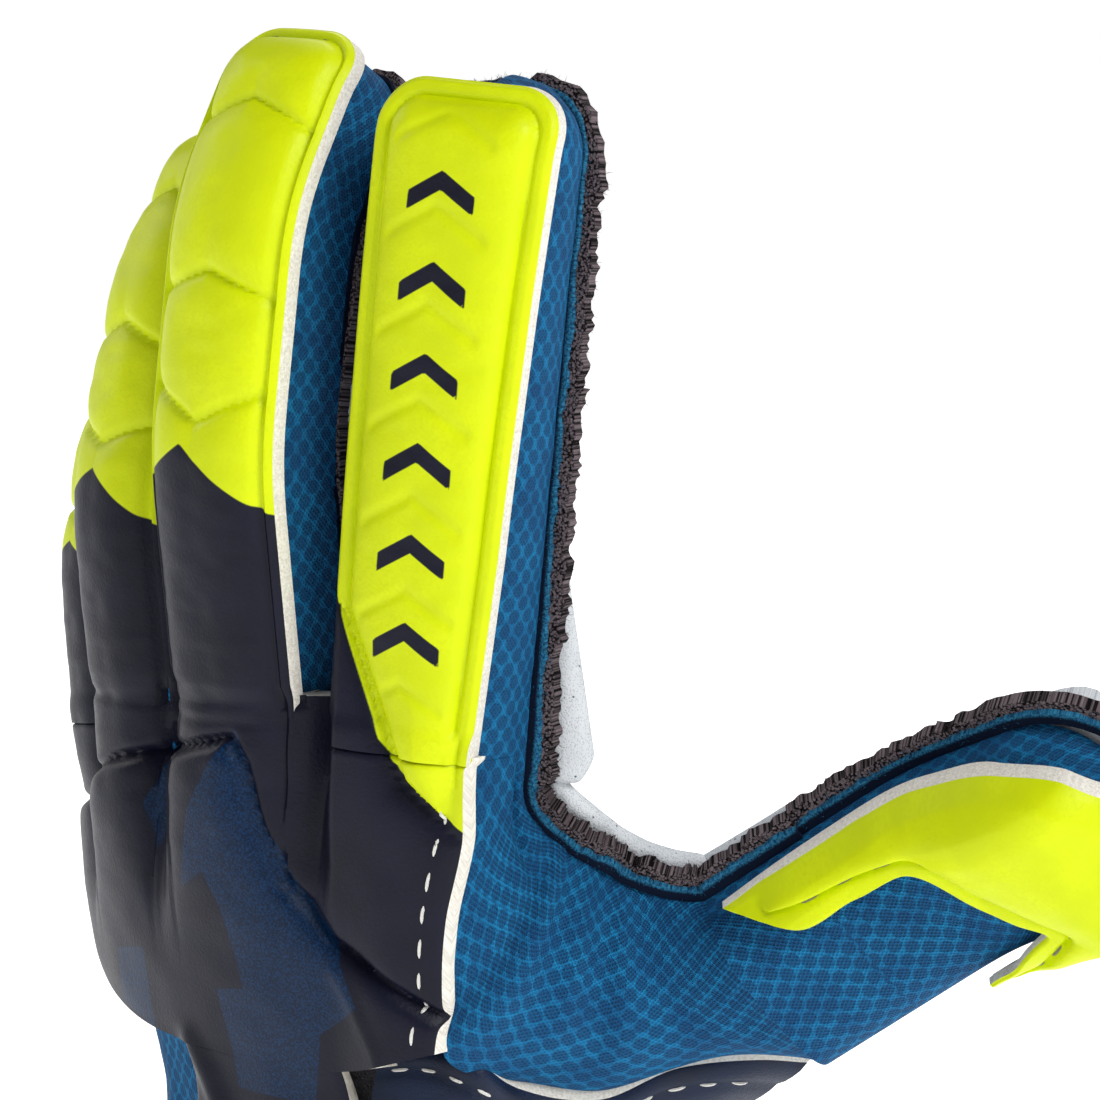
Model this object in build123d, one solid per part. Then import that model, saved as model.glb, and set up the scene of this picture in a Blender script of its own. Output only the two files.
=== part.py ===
"""Goalkeeper glove for a left hand, held open as if worn, fingers up and thumb out to the side.

Row frame, millimetres: +Z runs from the wrist opening to the fingertips, +X is the thumb side and the
padded back of the hand faces -Y. The origin is the centre of the wrist opening. Each finger is a chain of
three straight segments (lower, middle, tip) and the thumb one of two. A segment is a flat-cut finger: a
foam strip on the back, a latex strip on the palm side, and a mesh gusset that runs between them. The
segments are cut back around their hinge lines, so that the finger can curl without overlap.
"""
import math
import os

from build123d import *

# ---- finger chains: knuckle point, roll and sideways lean, rest bend and length of each segment ----
SEGMENTS = ("lower", "middle", "tip")
# width_change is against FOAM_WIDTH, hinge_roll is the roll of the knuckle's hinge line, and splay swings
# the finger outwards as it curls
FINGERS = {
    "index": dict(base=(33, -7, 155), roll=20, lean=4, bend=(3, 2, 2), length=(44, 29, 27),
                  width_change=0, hinge_roll=0, splay=-10),
    "middle": dict(base=(7, -14, 160), roll=5, lean=0.5, bend=(-7, 15, 22), length=(42, 33, 26),
                   width_change=-1.5, hinge_roll=0, splay=-3),
    "ring": dict(base=(-19, -9.5, 155), roll=-9, lean=-4, bend=(-3, 19, 17), length=(36, 30, 25),
                 width_change=-2.5, hinge_roll=-4, splay=3),
    "little": dict(base=(-42, 4, 146), roll=-17, lean=-9.5, bend=(2, 16, 14), length=(32, 22, 22),
                   width_change=-4, hinge_roll=-4, splay=12),
}
MIDDLE_ROLL_SHARE = 0.3  # the middle and tip hinge lines have this share of the finger's roll
THUMB = dict(base=(65, 29, 125.5), along=(0.69, 0.44, 0.575), back=(0.70, -0.66, -0.35), bend=(0, -22),
             length=(34, 31), width_change=8)
THUMB_ROOT = (16, 5, 97)

# ---- joint travel from rest, degrees: (straighten, curl) ----
KNUCKLE_TRAVEL = (-10, 47)
MIDDLE_TRAVEL = (0, 55)
TIP_SHARE = 0.6  # the tip joint curls this much for each degree at the middle joint
THUMB_TRAVELS = ((-12, 25), (-5, 45))
HINGE_DEPTH = 2.5  # how far the hinge line lies to the palm side of the segment's centre
JOINT_GAP = 0.35  # free space either side of a hinge line
ANGLE_SPARE = 3.0  # degrees of room beyond the travel

# ---- layer thicknesses ----
FOAM = 4.5
LATEX = 5.5
MESH = 1.2
LINING = 1.4

# ---- finger section, across the segment (x) and through it (y, positive to the palm) ----
FOAM_WIDTH = 25.5
FOAM_Y = -8.0  # underside of the back foam
LATEX_WIDTH = 23.0
LATEX_Y = 6.5  # top of the palm latex
GUSSET_WIDTH = 22.6
TIP_RADIUS = 9.0
THUMB_TIP_RADIUS = 12.0
FOAM_EDGE = 2.0  # rounding of the foam's outer edge
THUMB_BACK_MESH = 1.6  # the thumb's lower part has mesh on its back, with a foam arm along its upper edge
THUMB_ARM_WIDTH = 8.0
THUMB_ARM = 3.0

# ---- hand sections: z, centre x, arch centre y, half width, half thickness, arch height ----
HAND = (
    (86, 2, 5, 33, 22, 0),
    (105, 2, 4, 35, 17, 2),
    (125, -4, -7, 46, 11, 10),
    (150, -4, -13, 50, 8, 18),
    (172, -5, -16, 53, 8, 18),
)
ARCH_X = 2.0  # where the arch of the hand peaks
SQUARENESS = 2.6  # superellipse exponent of the hand's section
ANGLE_STEP = 9  # degrees between the points of a section
SEAM_DEGREES = 0.5  # half the gap between two sewn layers

# ---- wrist ----
CUFF_SECTIONS = (  # z, centre x and y, inner half width, inner half thickness
    (0, 0, 0, 37.5, 29.5),
    (45, 1, 2, 33.5, 25),
    (85.7, 2, 5, 31.3, 20.3),
)
CUFF_WALL = 2.4
BINDING_HEIGHT = 6.0
STRAP_LOW, STRAP_HIGH = 34.0, 72.0
STRAP_WALL = 2.4
LOOP_WALL = 1.2
HOOK_WALL = 1.2
LAYER_GAP = 0.3
STRAP_HINGE_DEGREES = 192  # where the strap's free part starts, past the little-finger side
STRAP_TAIL_DEGREES = 326  # where it stops, across the back of the wrist
STRAP_TRAVEL = (0, 110)
TONGUE_Z = (80, 86, 100, 115.5)
TONGUE_LIFT = 1.6  # how far the tongue stands off the lining, so that it clears the cuff
SIDE_PANEL_Z = (90, 100, 109)
PANEL = 3.0
HAND_FOAM_Z = (116, 125, 150, 172)
LINING_Z = (86, 96, 105, 125, 150, 172)


def unit(v):
    """The vector's direction."""
    return Vector(*v).normalized()


def turned(v, axis, degrees):
    """v turned about an axis through the origin."""
    return Vector(*v).rotate(Axis((0, 0, 0), tuple(axis)), degrees)


def chain(spec):
    """The segment frames of a digit, base to tip: (origin, across, palmward, along, length)."""
    if "along" in spec:
        along = unit(spec["along"])
        palmward = -(Vector(*spec["back"]) - along * along.dot(Vector(*spec["back"]))).normalized()
        across = palmward.cross(along)
    else:
        across, palmward, along = (turned(turned(v, (0, 0, 1), spec["roll"]), (0, 1, 0), spec["lean"])
                                   for v in ((1, 0, 0), (0, 1, 0), (0, 0, 1)))
    origin = Vector(*spec["base"])
    frames = []
    for bend, length in zip(spec["bend"], spec["length"]):
        along = turned(along, across, -bend)
        palmward = along.cross(across)
        frames.append((origin, across, palmward, along, length))
        origin = origin + along * length
    return frames


def before_first(spec):
    """The frame that a digit's first segment is bent from."""
    return chain({**spec, "bend": (0,) * len(spec["bend"])})[0]


def hinges(spec, travels):
    """Each joint of a digit: (point, axis, palm and back cut angles, segment direction before and after)."""
    frames = chain(spec)
    made = []
    for i, (before, after) in enumerate(zip([before_first(spec), *frames[:-1]], frames)):
        point = after[0] + (before[2] + after[2]).normalized() * HINGE_DEPTH
        roll = spec.get("roll", 0)
        hinge_roll = MIDDLE_ROLL_SHARE * roll if i else spec.get("hinge_roll", roll)
        axis = turned(after[1], after[3], hinge_roll - roll)
        if i == 0:
            axis = turned(axis, after[2], spec.get("splay", 0))
        low, high = travels[i]
        palm = (spec["bend"][i] + high) / 2 + ANGLE_SPARE
        back = max(0.0, (-low - spec["bend"][i]) / 2) + ANGLE_SPARE
        made.append((point, axis, palm, back, before[3], after[3]))
    return made


def beyond(hinge, side, width=(-45, 45), reach=70):
    """The space past a hinge line's cut. side is 1 for what follows the hinge, -1 for what comes before."""
    point, axis, palm, back = hinge[:4]
    along = hinge[5] if side > 0 else hinge[4]
    z = side * JOINT_GAP
    far = side * (reach + 30)
    outline_points = [(-30, z + side * 30 * math.tan(math.radians(back))), (0, z),
                      (30, z + side * 30 * math.tan(math.radians(palm))), (30, far), (-30, far)]
    upright = along - axis * along.dot(axis)
    return Plane(origin=point, x_dir=axis, z_dir=upright) * prism(outline_points, *width)


def prism(points, low, high):
    """A solid with a (y, z) outline, from x = low to high."""
    return extrude(Plane.YZ.offset(low) * make_face(Polyline(*points, close=True)), high - low)


def placed(shape, frame):
    """A shape moved from a segment's frame into the row frame."""
    return Plane(origin=frame[0], x_dir=frame[1], z_dir=frame[3]) * shape


def outline(width_low, width_high, z_low, z_high, radius):
    """A strip's outline in the (x, z) plane, rounded at the far end if it has a radius."""
    a, b = width_low / 2, width_high / 2
    face = make_face(Polyline((-a, z_low), (a, z_low), (b, z_high), (-b, z_high), close=True))
    if radius:
        far = [v for v in face.vertices() if v.Y > z_high - 0.01]
        face = fillet(far, radius)
    return face


def plate(face, y_low, y_high):
    """A flat strip between two depths. The face's (x, y) become the strip's (x, z)."""
    return Plane((0, y_high, 0), x_dir=(1, 0, 0), z_dir=(0, -1, 0)) * extrude(face, y_high - y_low)


def rounded(solid, face_y, radius):
    """Rounds the edges of the strip's face at depth face_y, if the kernel can."""
    edges = [e for e in solid.edges() if abs(e.center().Y - face_y) < 0.01]
    try:
        return fillet(edges, radius)
    except ValueError:
        return solid


def strip(width, is_tip, length, radius, low, high, shift=0):
    """One flat layer of a segment in its own frame, before its ends are cut."""
    top = length if is_tip else length + 12
    return Pos(shift, 0, 0) * plate(outline(width, width, -12, top, radius if is_tip else 0), low, high)


def gusset_walls(width, is_tip, length, radius):
    """The side walls of a segment, joined round the end of a tip."""
    outer = strip(width, is_tip, length - 1, radius, FOAM_Y, LATEX_Y)
    inner_length = length - 1 - MESH if is_tip else length + 5
    inner = strip(width - 2 * MESH, is_tip, inner_length, max(0.1, radius - MESH), FOAM_Y - 1, LATEX_Y + 1)
    return outer - inner


def segment_layers(spec, is_tip, length, is_thumb):
    """The layers of one segment by name, in the segment's frame, before its ends are cut."""
    radius = THUMB_TIP_RADIUS if is_thumb else TIP_RADIUS
    change = spec["width_change"]
    foam_width = FOAM_WIDTH + change
    args = (is_tip, length, radius)
    latex = strip(LATEX_WIDTH + change, *args, LATEX_Y, LATEX_Y + LATEX)
    layers = {"mesh_gusset": gusset_walls(GUSSET_WIDTH + change, *args),
              "palm_latex": rounded(latex, LATEX_Y + LATEX, FOAM_EDGE)}
    if is_thumb and not is_tip:
        arm_y = FOAM_Y - THUMB_BACK_MESH - LAYER_GAP
        layers["back_mesh"] = strip(foam_width - 2, *args, FOAM_Y - THUMB_BACK_MESH, FOAM_Y)
        layers["foam_arm"] = strip(THUMB_ARM_WIDTH, *args, arm_y - THUMB_ARM, arm_y,
                                   (THUMB_ARM_WIDTH - foam_width) / 2)
    else:
        foam = strip(foam_width, *args, FOAM_Y - FOAM, FOAM_Y)
        layers["back_foam"] = rounded(foam, FOAM_Y - FOAM, FOAM_EDGE)
    return layers


def finger_travels():
    """Travel of a finger's three joints."""
    return (KNUCKLE_TRAVEL, MIDDLE_TRAVEL, tuple(TIP_SHARE * t for t in MIDDLE_TRAVEL))


def digit_nodes(name, spec, travels, labels):
    """All layers of a digit, by node name, in the row frame."""
    frames, joints = chain(spec), hinges(spec, travels)
    made = {}
    for i, (frame, label) in enumerate(zip(frames, labels)):
        is_tip = i + 1 == len(frames)
        for layer, shape in segment_layers(spec, is_tip, frame[4], name == "thumb").items():
            solid = placed(shape, frame) & beyond(joints[i], 1)
            if not is_tip:
                solid = solid & beyond(joints[i + 1], -1)
            made[f"{name}_{label}_{layer}"] = solid
    return made


def hand_at(z):
    """Hand section values at a height, in line between the listed sections."""
    for low, high in zip(HAND, HAND[1:]):
        if z <= high[0] or high is HAND[-1]:
            t = (z - low[0]) / (high[0] - low[0])
            return [a + (b - a) * t for a, b in zip(low, high)]


def hand_point(z, degrees, offset):
    """A point of the hand's arched section. Degrees run from the thumb side (0) to the palm (90)."""
    _, cx, cy, half_width, half_depth, arch = hand_at(z)
    c, s = math.cos(math.radians(degrees)), math.sin(math.radians(degrees))
    x = math.copysign(abs(c) ** (2 / SQUARENESS), c) * (half_width + offset)
    y = math.copysign(abs(s) ** (2 / SQUARENESS), s) * (half_depth + offset)
    return cx + x, cy + arch * ((cx + x - ARCH_X) / half_width) ** 2 + y


def band_face(z, start, stop, inner, outer, at):
    """A curved band of a section: between two angles, from one offset to another."""
    between = [a for a in range(-360, 361, ANGLE_STEP) if start + 3 < a < stop - 3]
    angles = [start, *between, stop]
    out = [(*at(z, a, outer), z) for a in angles]
    back = [(*at(z, a, inner), z) for a in reversed(angles)]
    return make_face([Spline(*out), Line(out[-1], back[0]), Spline(*back), Line(back[-1], out[0])])


def band(zs, start, stop, inner, outer, at=hand_point):
    """A curved layer lofted through the sections at the heights zs."""
    return loft([band_face(z, start, stop, inner, outer, at) for z in zs], ruled=True)


def hand_core(offset):
    """The hand's whole shape as one solid, grown by an offset."""
    faces = []
    for z in LINING_Z:
        points = [(*hand_point(z, a, offset), z) for a in range(0, 360, ANGLE_STEP)]
        faces.append(make_face(Spline(*points, periodic=True)))
    return loft(faces, ruled=True)


def finger_space():
    """What the hand's layers leave free for the fingers: one wedge for each knuckle."""
    made = []
    names = list(FINGERS)
    for name in names:
        low = -60 if name == names[-1] else -14.5
        high = 60 if name == names[0] else 14.5
        knuckle = hinges(FINGERS[name], finger_travels())[0]
        point, axis, palm, back, before, _ = knuckle
        made.append(beyond((point, axis, -palm, -back, None, before), 1, (low, high)))
    return made


def thumb_space():
    """What the thumb's base leaves free for the thumb's first hinge."""
    point, axis, palm, back, before, _ = hinges(THUMB, THUMB_TRAVELS)[0]
    return beyond((point, axis, -palm, -back, None, before), 1)


def thumb_tube(offset):
    """A closed cone from inside the hand to the thumb's base, grown by an offset."""
    origin, across, _, along, _ = before_first(THUMB)
    root = Vector(*THUMB_ROOT)
    lead = (origin - root).normalized()
    low = Plane(origin=root, x_dir=across, z_dir=lead)
    middle = Plane(origin=root + (origin - root) * 0.6, x_dir=across, z_dir=lead + along)
    high = Plane(origin=origin + along * 8, x_dir=across, z_dir=along)
    return loft([low * Ellipse(25 + offset, 15 + offset), middle * Ellipse(19.5 + offset, 12.5 + offset),
                 high * RectangleRounded(30.6 + 2 * offset, 14.5 + 2 * offset, 6 + offset)])


def thumb_palm_half():
    """The half space on the palm side of the thumb's base."""
    return placed(Pos(0, 55 + LATEX_Y - 4, -20) * Box(120, 110, 160), before_first(THUMB))


def largest(shape):
    """The largest solid of a shape, without the crumbs that cuts leave."""
    return max(shape.solids(), key=lambda s: s.volume)


def cuff_at(z):
    """Centre and inner half sizes of the cuff's oval at a height."""
    for low, high in zip(CUFF_SECTIONS, CUFF_SECTIONS[1:]):
        if z <= high[0] or high is CUFF_SECTIONS[-1]:
            t = (z - low[0]) / (high[0] - low[0])
            return [a + (b - a) * t for a, b in zip(low[1:], high[1:])]


def cuff_point(z, degrees, offset):
    """A point of the cuff's oval section, at an offset from its inner face."""
    cx, cy, half_width, half_depth = cuff_at(z)
    angle = math.radians(degrees)
    return cx + (half_width + offset) * math.cos(angle), cy + (half_depth + offset) * math.sin(angle)


def oval(z, offset):
    """A closed oval face of the cuff."""
    cx, cy, half_width, half_depth = cuff_at(z)
    return Pos(cx, cy, z) * Ellipse(half_width + offset, half_depth + offset)


def tube(zs, inner, outer):
    """An oval tube through the heights zs."""
    return loft([oval(z, outer) for z in zs], ruled=True) - loft([oval(z, inner) for z in zs], ruled=True)


def cuff_band(inset, start, stop, inner, outer):
    """A band round the cuff, as tall as the strap less an inset at each edge."""
    return band((STRAP_LOW + inset, STRAP_HIGH - inset), start, stop, inner, outer, cuff_point)


def wrist_nodes():
    """Cuff, binding and closure strap."""
    over_cuff = CUFF_WALL + LAYER_GAP
    over_loop = over_cuff + LOOP_WALL + LAYER_GAP
    over_hook = over_loop + HOOK_WALL
    made = {"wrist_rib_cuff": tube((BINDING_HEIGHT, 45, 85.7), 0, CUFF_WALL)}
    made["cuff_binding"] = tube((0, BINDING_HEIGHT), -0.8, CUFF_WALL + 0.8)
    made["closure_loop_pad"] = cuff_band(3, 206, 338, over_cuff, over_cuff + LOOP_WALL)
    made["wrist_strap_band"] = cuff_band(0, -14, STRAP_HINGE_DEGREES - 3, over_cuff, over_cuff + STRAP_WALL)
    made["strap_free_end"] = cuff_band(0, STRAP_HINGE_DEGREES, STRAP_TAIL_DEGREES, over_hook,
                                       over_hook + STRAP_WALL)
    made["strap_hook_pad"] = cuff_band(5, 250, STRAP_TAIL_DEGREES - 6, over_loop, over_hook - LAYER_GAP)
    return made


def hand_nodes():
    """The hand's layers: back foam, linings, gussets, palm latex and the two wrist panels."""
    wedges = finger_space()
    inside, outside, clear = thumb_tube(-MESH), thumb_tube(0), thumb_tube(LAYER_GAP)
    latex_tube = thumb_tube(LATEX)

    def trimmed(solid, *others):
        for cutter in (*wedges, *others):
            solid = solid - cutter
        return largest(solid)

    core = hand_core(LAYER_GAP)
    above_cuff = Pos(0, 0, 86 + 100) * Box(300, 300, 200)
    cone = largest((outside - core - thumb_space()) & above_cuff) - inside
    thenar = (latex_tube - clear - hand_core(FOAM + 1) - thumb_space()) & thumb_palm_half() & above_cuff
    seam = SEAM_DEGREES
    return {
        "hand_back_foam": trimmed(band(HAND_FOAM_Z, -142, -36, LAYER_GAP, FOAM), clear),
        "hand_back_lining": trimmed(band(LINING_Z, -140 + seam, -38 - seam, -LINING, 0), clear),
        "hand_palm_lining": trimmed(band(LINING_Z, 22 + seam, 156 - seam, -LINING, 0), clear),
        "ulnar_mesh_gusset": trimmed(band(LINING_Z, 156 + seam, 220 - seam, -LINING, 0)),
        "radial_mesh_gusset": trimmed(band(LINING_Z, -38 + seam, 22 - seam, -LINING, 0), clear),
        "thumb_mesh_gusset": largest(cone),
        "hand_palm_latex": largest(trimmed(band(LINING_Z[1:], 26, 152, LAYER_GAP, LATEX), clear) + thenar),
        "wrist_back_tongue": trimmed(band(TONGUE_Z, -96, -50, TONGUE_LIFT, TONGUE_LIFT + FOAM), clear),
        "wrist_side_panel": trimmed(band(SIDE_PANEL_Z, -46, 8, LAYER_GAP, PANEL), clear),
    }


def main():
    os.makedirs("parts", exist_ok=True)
    nodes = {}
    for name, spec in FINGERS.items():
        nodes.update(digit_nodes(name, spec, finger_travels(), SEGMENTS))
    nodes.update(digit_nodes("thumb", THUMB, THUMB_TRAVELS, ("lower", "tip")))
    nodes.update(wrist_nodes())
    nodes.update(hand_nodes())
    for name, solid in nodes.items():
        export_step(solid, f"parts/{name}.step")


if __name__ == "__main__":
    main()
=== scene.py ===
"""Looks for the goalkeeper glove: sewn foam, mesh, latex and knit pieces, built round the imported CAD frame.

Shapes are worked out in millimetres with the same dimensions as the CAD source, as grids of points over
each digit's bent spine or over the hand's arched section, and are written to Blender in metres.
"""
import math

import bmesh
import bpy
import numpy as np
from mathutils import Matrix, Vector


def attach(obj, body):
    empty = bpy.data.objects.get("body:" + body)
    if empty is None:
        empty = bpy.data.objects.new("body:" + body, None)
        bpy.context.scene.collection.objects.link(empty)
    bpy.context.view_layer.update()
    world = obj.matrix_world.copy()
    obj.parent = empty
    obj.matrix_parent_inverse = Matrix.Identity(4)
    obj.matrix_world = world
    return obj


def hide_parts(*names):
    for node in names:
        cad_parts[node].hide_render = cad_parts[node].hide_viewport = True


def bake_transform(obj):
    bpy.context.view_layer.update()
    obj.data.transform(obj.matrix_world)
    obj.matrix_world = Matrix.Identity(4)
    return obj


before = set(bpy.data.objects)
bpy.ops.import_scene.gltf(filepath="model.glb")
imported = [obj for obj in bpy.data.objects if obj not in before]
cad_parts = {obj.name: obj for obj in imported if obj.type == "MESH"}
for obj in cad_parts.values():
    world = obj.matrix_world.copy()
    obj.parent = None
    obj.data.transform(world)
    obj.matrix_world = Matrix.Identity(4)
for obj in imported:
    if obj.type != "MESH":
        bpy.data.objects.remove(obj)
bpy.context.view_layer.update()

MM = 0.001
RANDOM = np.random.default_rng(11)

# ---------------------------------------------------------------- the CAD source's driving dimensions
FINGERS = {
    "index": dict(base=(33, -7, 155), roll=20, lean=4, bend=(3, 2, 2), length=(44, 29, 27), width_change=0),
    "middle": dict(base=(7, -14, 160), roll=5, lean=0.5, bend=(-7, 15, 22), length=(42, 33, 26),
                   width_change=-1.5),
    "ring": dict(base=(-19, -9.5, 155), roll=-9, lean=-4, bend=(-3, 19, 17), length=(36, 30, 25),
                 width_change=-2.5),
    "little": dict(base=(-42, 4, 146), roll=-17, lean=-9.5, bend=(2, 16, 14), length=(32, 22, 22),
                   width_change=-4),
}
THUMB = dict(base=(65, 29, 125.5), along=(0.69, 0.44, 0.575), back=(0.70, -0.66, -0.35), bend=(0, -22),
             length=(34, 31), width_change=8)
# the hand's sections: height, centre x and y, half width, half depth, arch
HAND = ((86, 2, 5, 33, 22, 0), (105, 2, 4, 35, 17, 2), (125, -4, -7, 46, 11, 10), (150, -4, -13, 50, 8, 18),
        (172, -5, -16, 53, 8, 18))
ARCH_X = 2.0
SQUARENESS = 2.6
# the cuff's sections: height, centre x and y, half axes
CUFF_SECTIONS = ((0, 0, 0, 37.5, 29.5), (45, 1, 2, 33.5, 25), (85.7, 2, 5, 31.3, 20.3))
FOAM_Y, LATEX_Y = -8.0, 6.5
HALF_FOAM, HALF_LATEX, HALF_GUSSET = 12.75, 11.5, 11.3


def srgb(r, g, b):
    """A display colour, 0 to 255, as the linear colour a shader takes."""
    linear = [c / 255 / 12.92 if c <= 10 else ((c / 255 + 0.055) / 1.055) ** 2.4 for c in (r, g, b)]
    return (*linear, 1.0)


def smooth(t):
    """Smooth step from 0 to 1."""
    t = np.clip(t, 0, 1)
    return t * t * (3 - 2 * t)


def bell(t):
    """A bell curve: 1 at 0, nearly 0 from 2 on."""
    return np.exp(-t**2)


def unit(v):
    """Vectors scaled to length 1."""
    v = np.asarray(v, float)
    return v / np.maximum(np.linalg.norm(v, axis=-1, keepdims=True), 1e-9)


def turned(v, axis, degrees):
    """v turned about an axis through the origin."""
    v, k, a = np.asarray(v, float), unit(axis), math.radians(degrees)
    return v * math.cos(a) + np.cross(k, v) * math.sin(a) + k * (k @ v) * (1 - math.cos(a))


def value_noise(x, y, seed):
    """Smooth random values, about -1 to 1, over a plane."""
    table = np.random.default_rng(seed).uniform(-1, 1, (64, 64))
    x0, y0 = np.floor(x).astype(int), np.floor(y).astype(int)
    u, v = smooth(x - x0), smooth(y - y0)
    at = lambda i, j: table[i % 64, j % 64]
    low = at(x0, y0) * (1 - u) + at(x0 + 1, y0) * u
    return low * (1 - v) + (at(x0, y0 + 1) * (1 - u) + at(x0 + 1, y0 + 1) * u) * v


def run_along(path):
    """The distance along a path at each of its points."""
    return np.concatenate([[0], np.cumsum(np.linalg.norm(np.diff(path, axis=0), axis=1))])


def line_distance(x, z, points):
    """Distance from each (x, z) to an open polyline, and the side it is on (positive to its left)."""
    best, side = np.full(np.shape(x), 1e9), np.zeros(np.shape(x))
    for (ax, az), (bx, bz) in zip(points, points[1:]):
        dx, dz = bx - ax, bz - az
        t = np.clip(((x - ax) * dx + (z - az) * dz) / (dx * dx + dz * dz), 0, 1)
        d = np.hypot(x - ax - t * dx, z - az - t * dz)
        near = d < best
        side = np.where(near, np.sign(dx * (z - az) - dz * (x - ax)), side)
        best = np.minimum(best, d)
    return best, side


def curve_through(points, count):
    """Points at even steps along a smooth curve through the given ones."""
    p = np.asarray(points, float)
    knots = run_along(p)
    slopes = np.gradient(p, knots, axis=0)
    t = np.linspace(0, knots[-1], count)
    i = np.clip(np.searchsorted(knots, t, side="right") - 1, 0, len(p) - 2)
    h = (knots[i + 1] - knots[i])[:, None]
    u = (t - knots[i])[:, None] / h
    return ((2 * u**3 - 3 * u**2 + 1) * p[i] + (u**3 - 2 * u**2 + u) * h * slopes[i]
            + (3 * u**2 - 2 * u**3) * p[i + 1] + (u**3 - u**2) * h * slopes[i + 1])


def fabric_rest(points):
    """Distances along both ways of a grid, measured on it, so that a knit keeps its scale."""
    across = np.linalg.norm(np.diff(points, axis=1), axis=2)
    down = np.linalg.norm(np.diff(points, axis=0), axis=2)
    a = np.concatenate([np.zeros((len(points), 1)), np.cumsum(across, axis=1)], 1)
    a = a - a[:, a.shape[1] // 2:a.shape[1] // 2 + 1]
    middle = down.mean(axis=1)
    d = np.concatenate([[0], np.cumsum(middle)])[:, None] + 0 * a
    return np.stack([a, d, 0 * a], -1)


def normals_of(points):
    """Unit normals of a grid of points."""
    return unit(np.cross(np.gradient(points, axis=0), np.gradient(points, axis=1)))


class Digit:
    """A finger or thumb as a smooth spine, with a frame at each distance s from the knuckle."""

    def __init__(self, name, spec):
        self.name, self.spec, self.length = name, spec, spec["length"]
        if "along" in spec:
            along = unit(spec["along"])
            back = np.array(spec["back"], float)
            palm = -unit(back - along * (along @ back))
            across = np.cross(palm, along)
        else:
            across, palm, along = (turned(turned(v, (0, 0, 1), spec["roll"]), (0, 1, 0), spec["lean"])
                                   for v in np.eye(3))
        self.across, self.palm0, self.along0 = across, palm, along
        self.base = np.array(spec["base"], float)
        self.joints = np.concatenate([[0], np.cumsum(self.length)])
        self.total = float(self.joints[-1])
        self.change = spec["width_change"] / 2
        s = np.arange(-70, self.total + 30, 0.25)
        angle = sum(math.radians(b) * smooth((s - j + 9) / 18) for b, j in zip(spec["bend"], self.joints))
        direction = np.cos(angle)[:, None] * along + np.sin(angle)[:, None] * palm
        path = np.cumsum(direction, axis=0) * 0.25
        zero = int(round(70 / 0.25))
        self.s, self.angle, self.path = s, angle, path - path[zero] + self.base

    def centre(self, s):
        return np.stack([np.interp(s, self.s, self.path[:, k]) for k in range(3)], -1)

    def place(self, x, s, y):
        """Points at x across, s along and y to the palm."""
        x, s, y = np.broadcast_arrays(np.asarray(x, float), s, y)
        angle = np.interp(s, self.s, self.angle)[..., None]
        palm = np.cos(angle) * self.palm0 - np.sin(angle) * self.along0
        return self.centre(s) + x[..., None] * self.across + y[..., None] * palm

    def spans(self):
        """The s ranges of this digit's pieces: each takes in one joint."""
        middles = [(a + b) / 2 for a, b in zip(self.joints, self.joints[1:])]
        return list(zip([None, *middles[:-1]], [*middles[:-1], self.total]))


DIGITS = {name: Digit(name, spec) for name, spec in {**FINGERS, "thumb": THUMB}.items()}
LABELS = ("lower", "middle", "tip")


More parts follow.
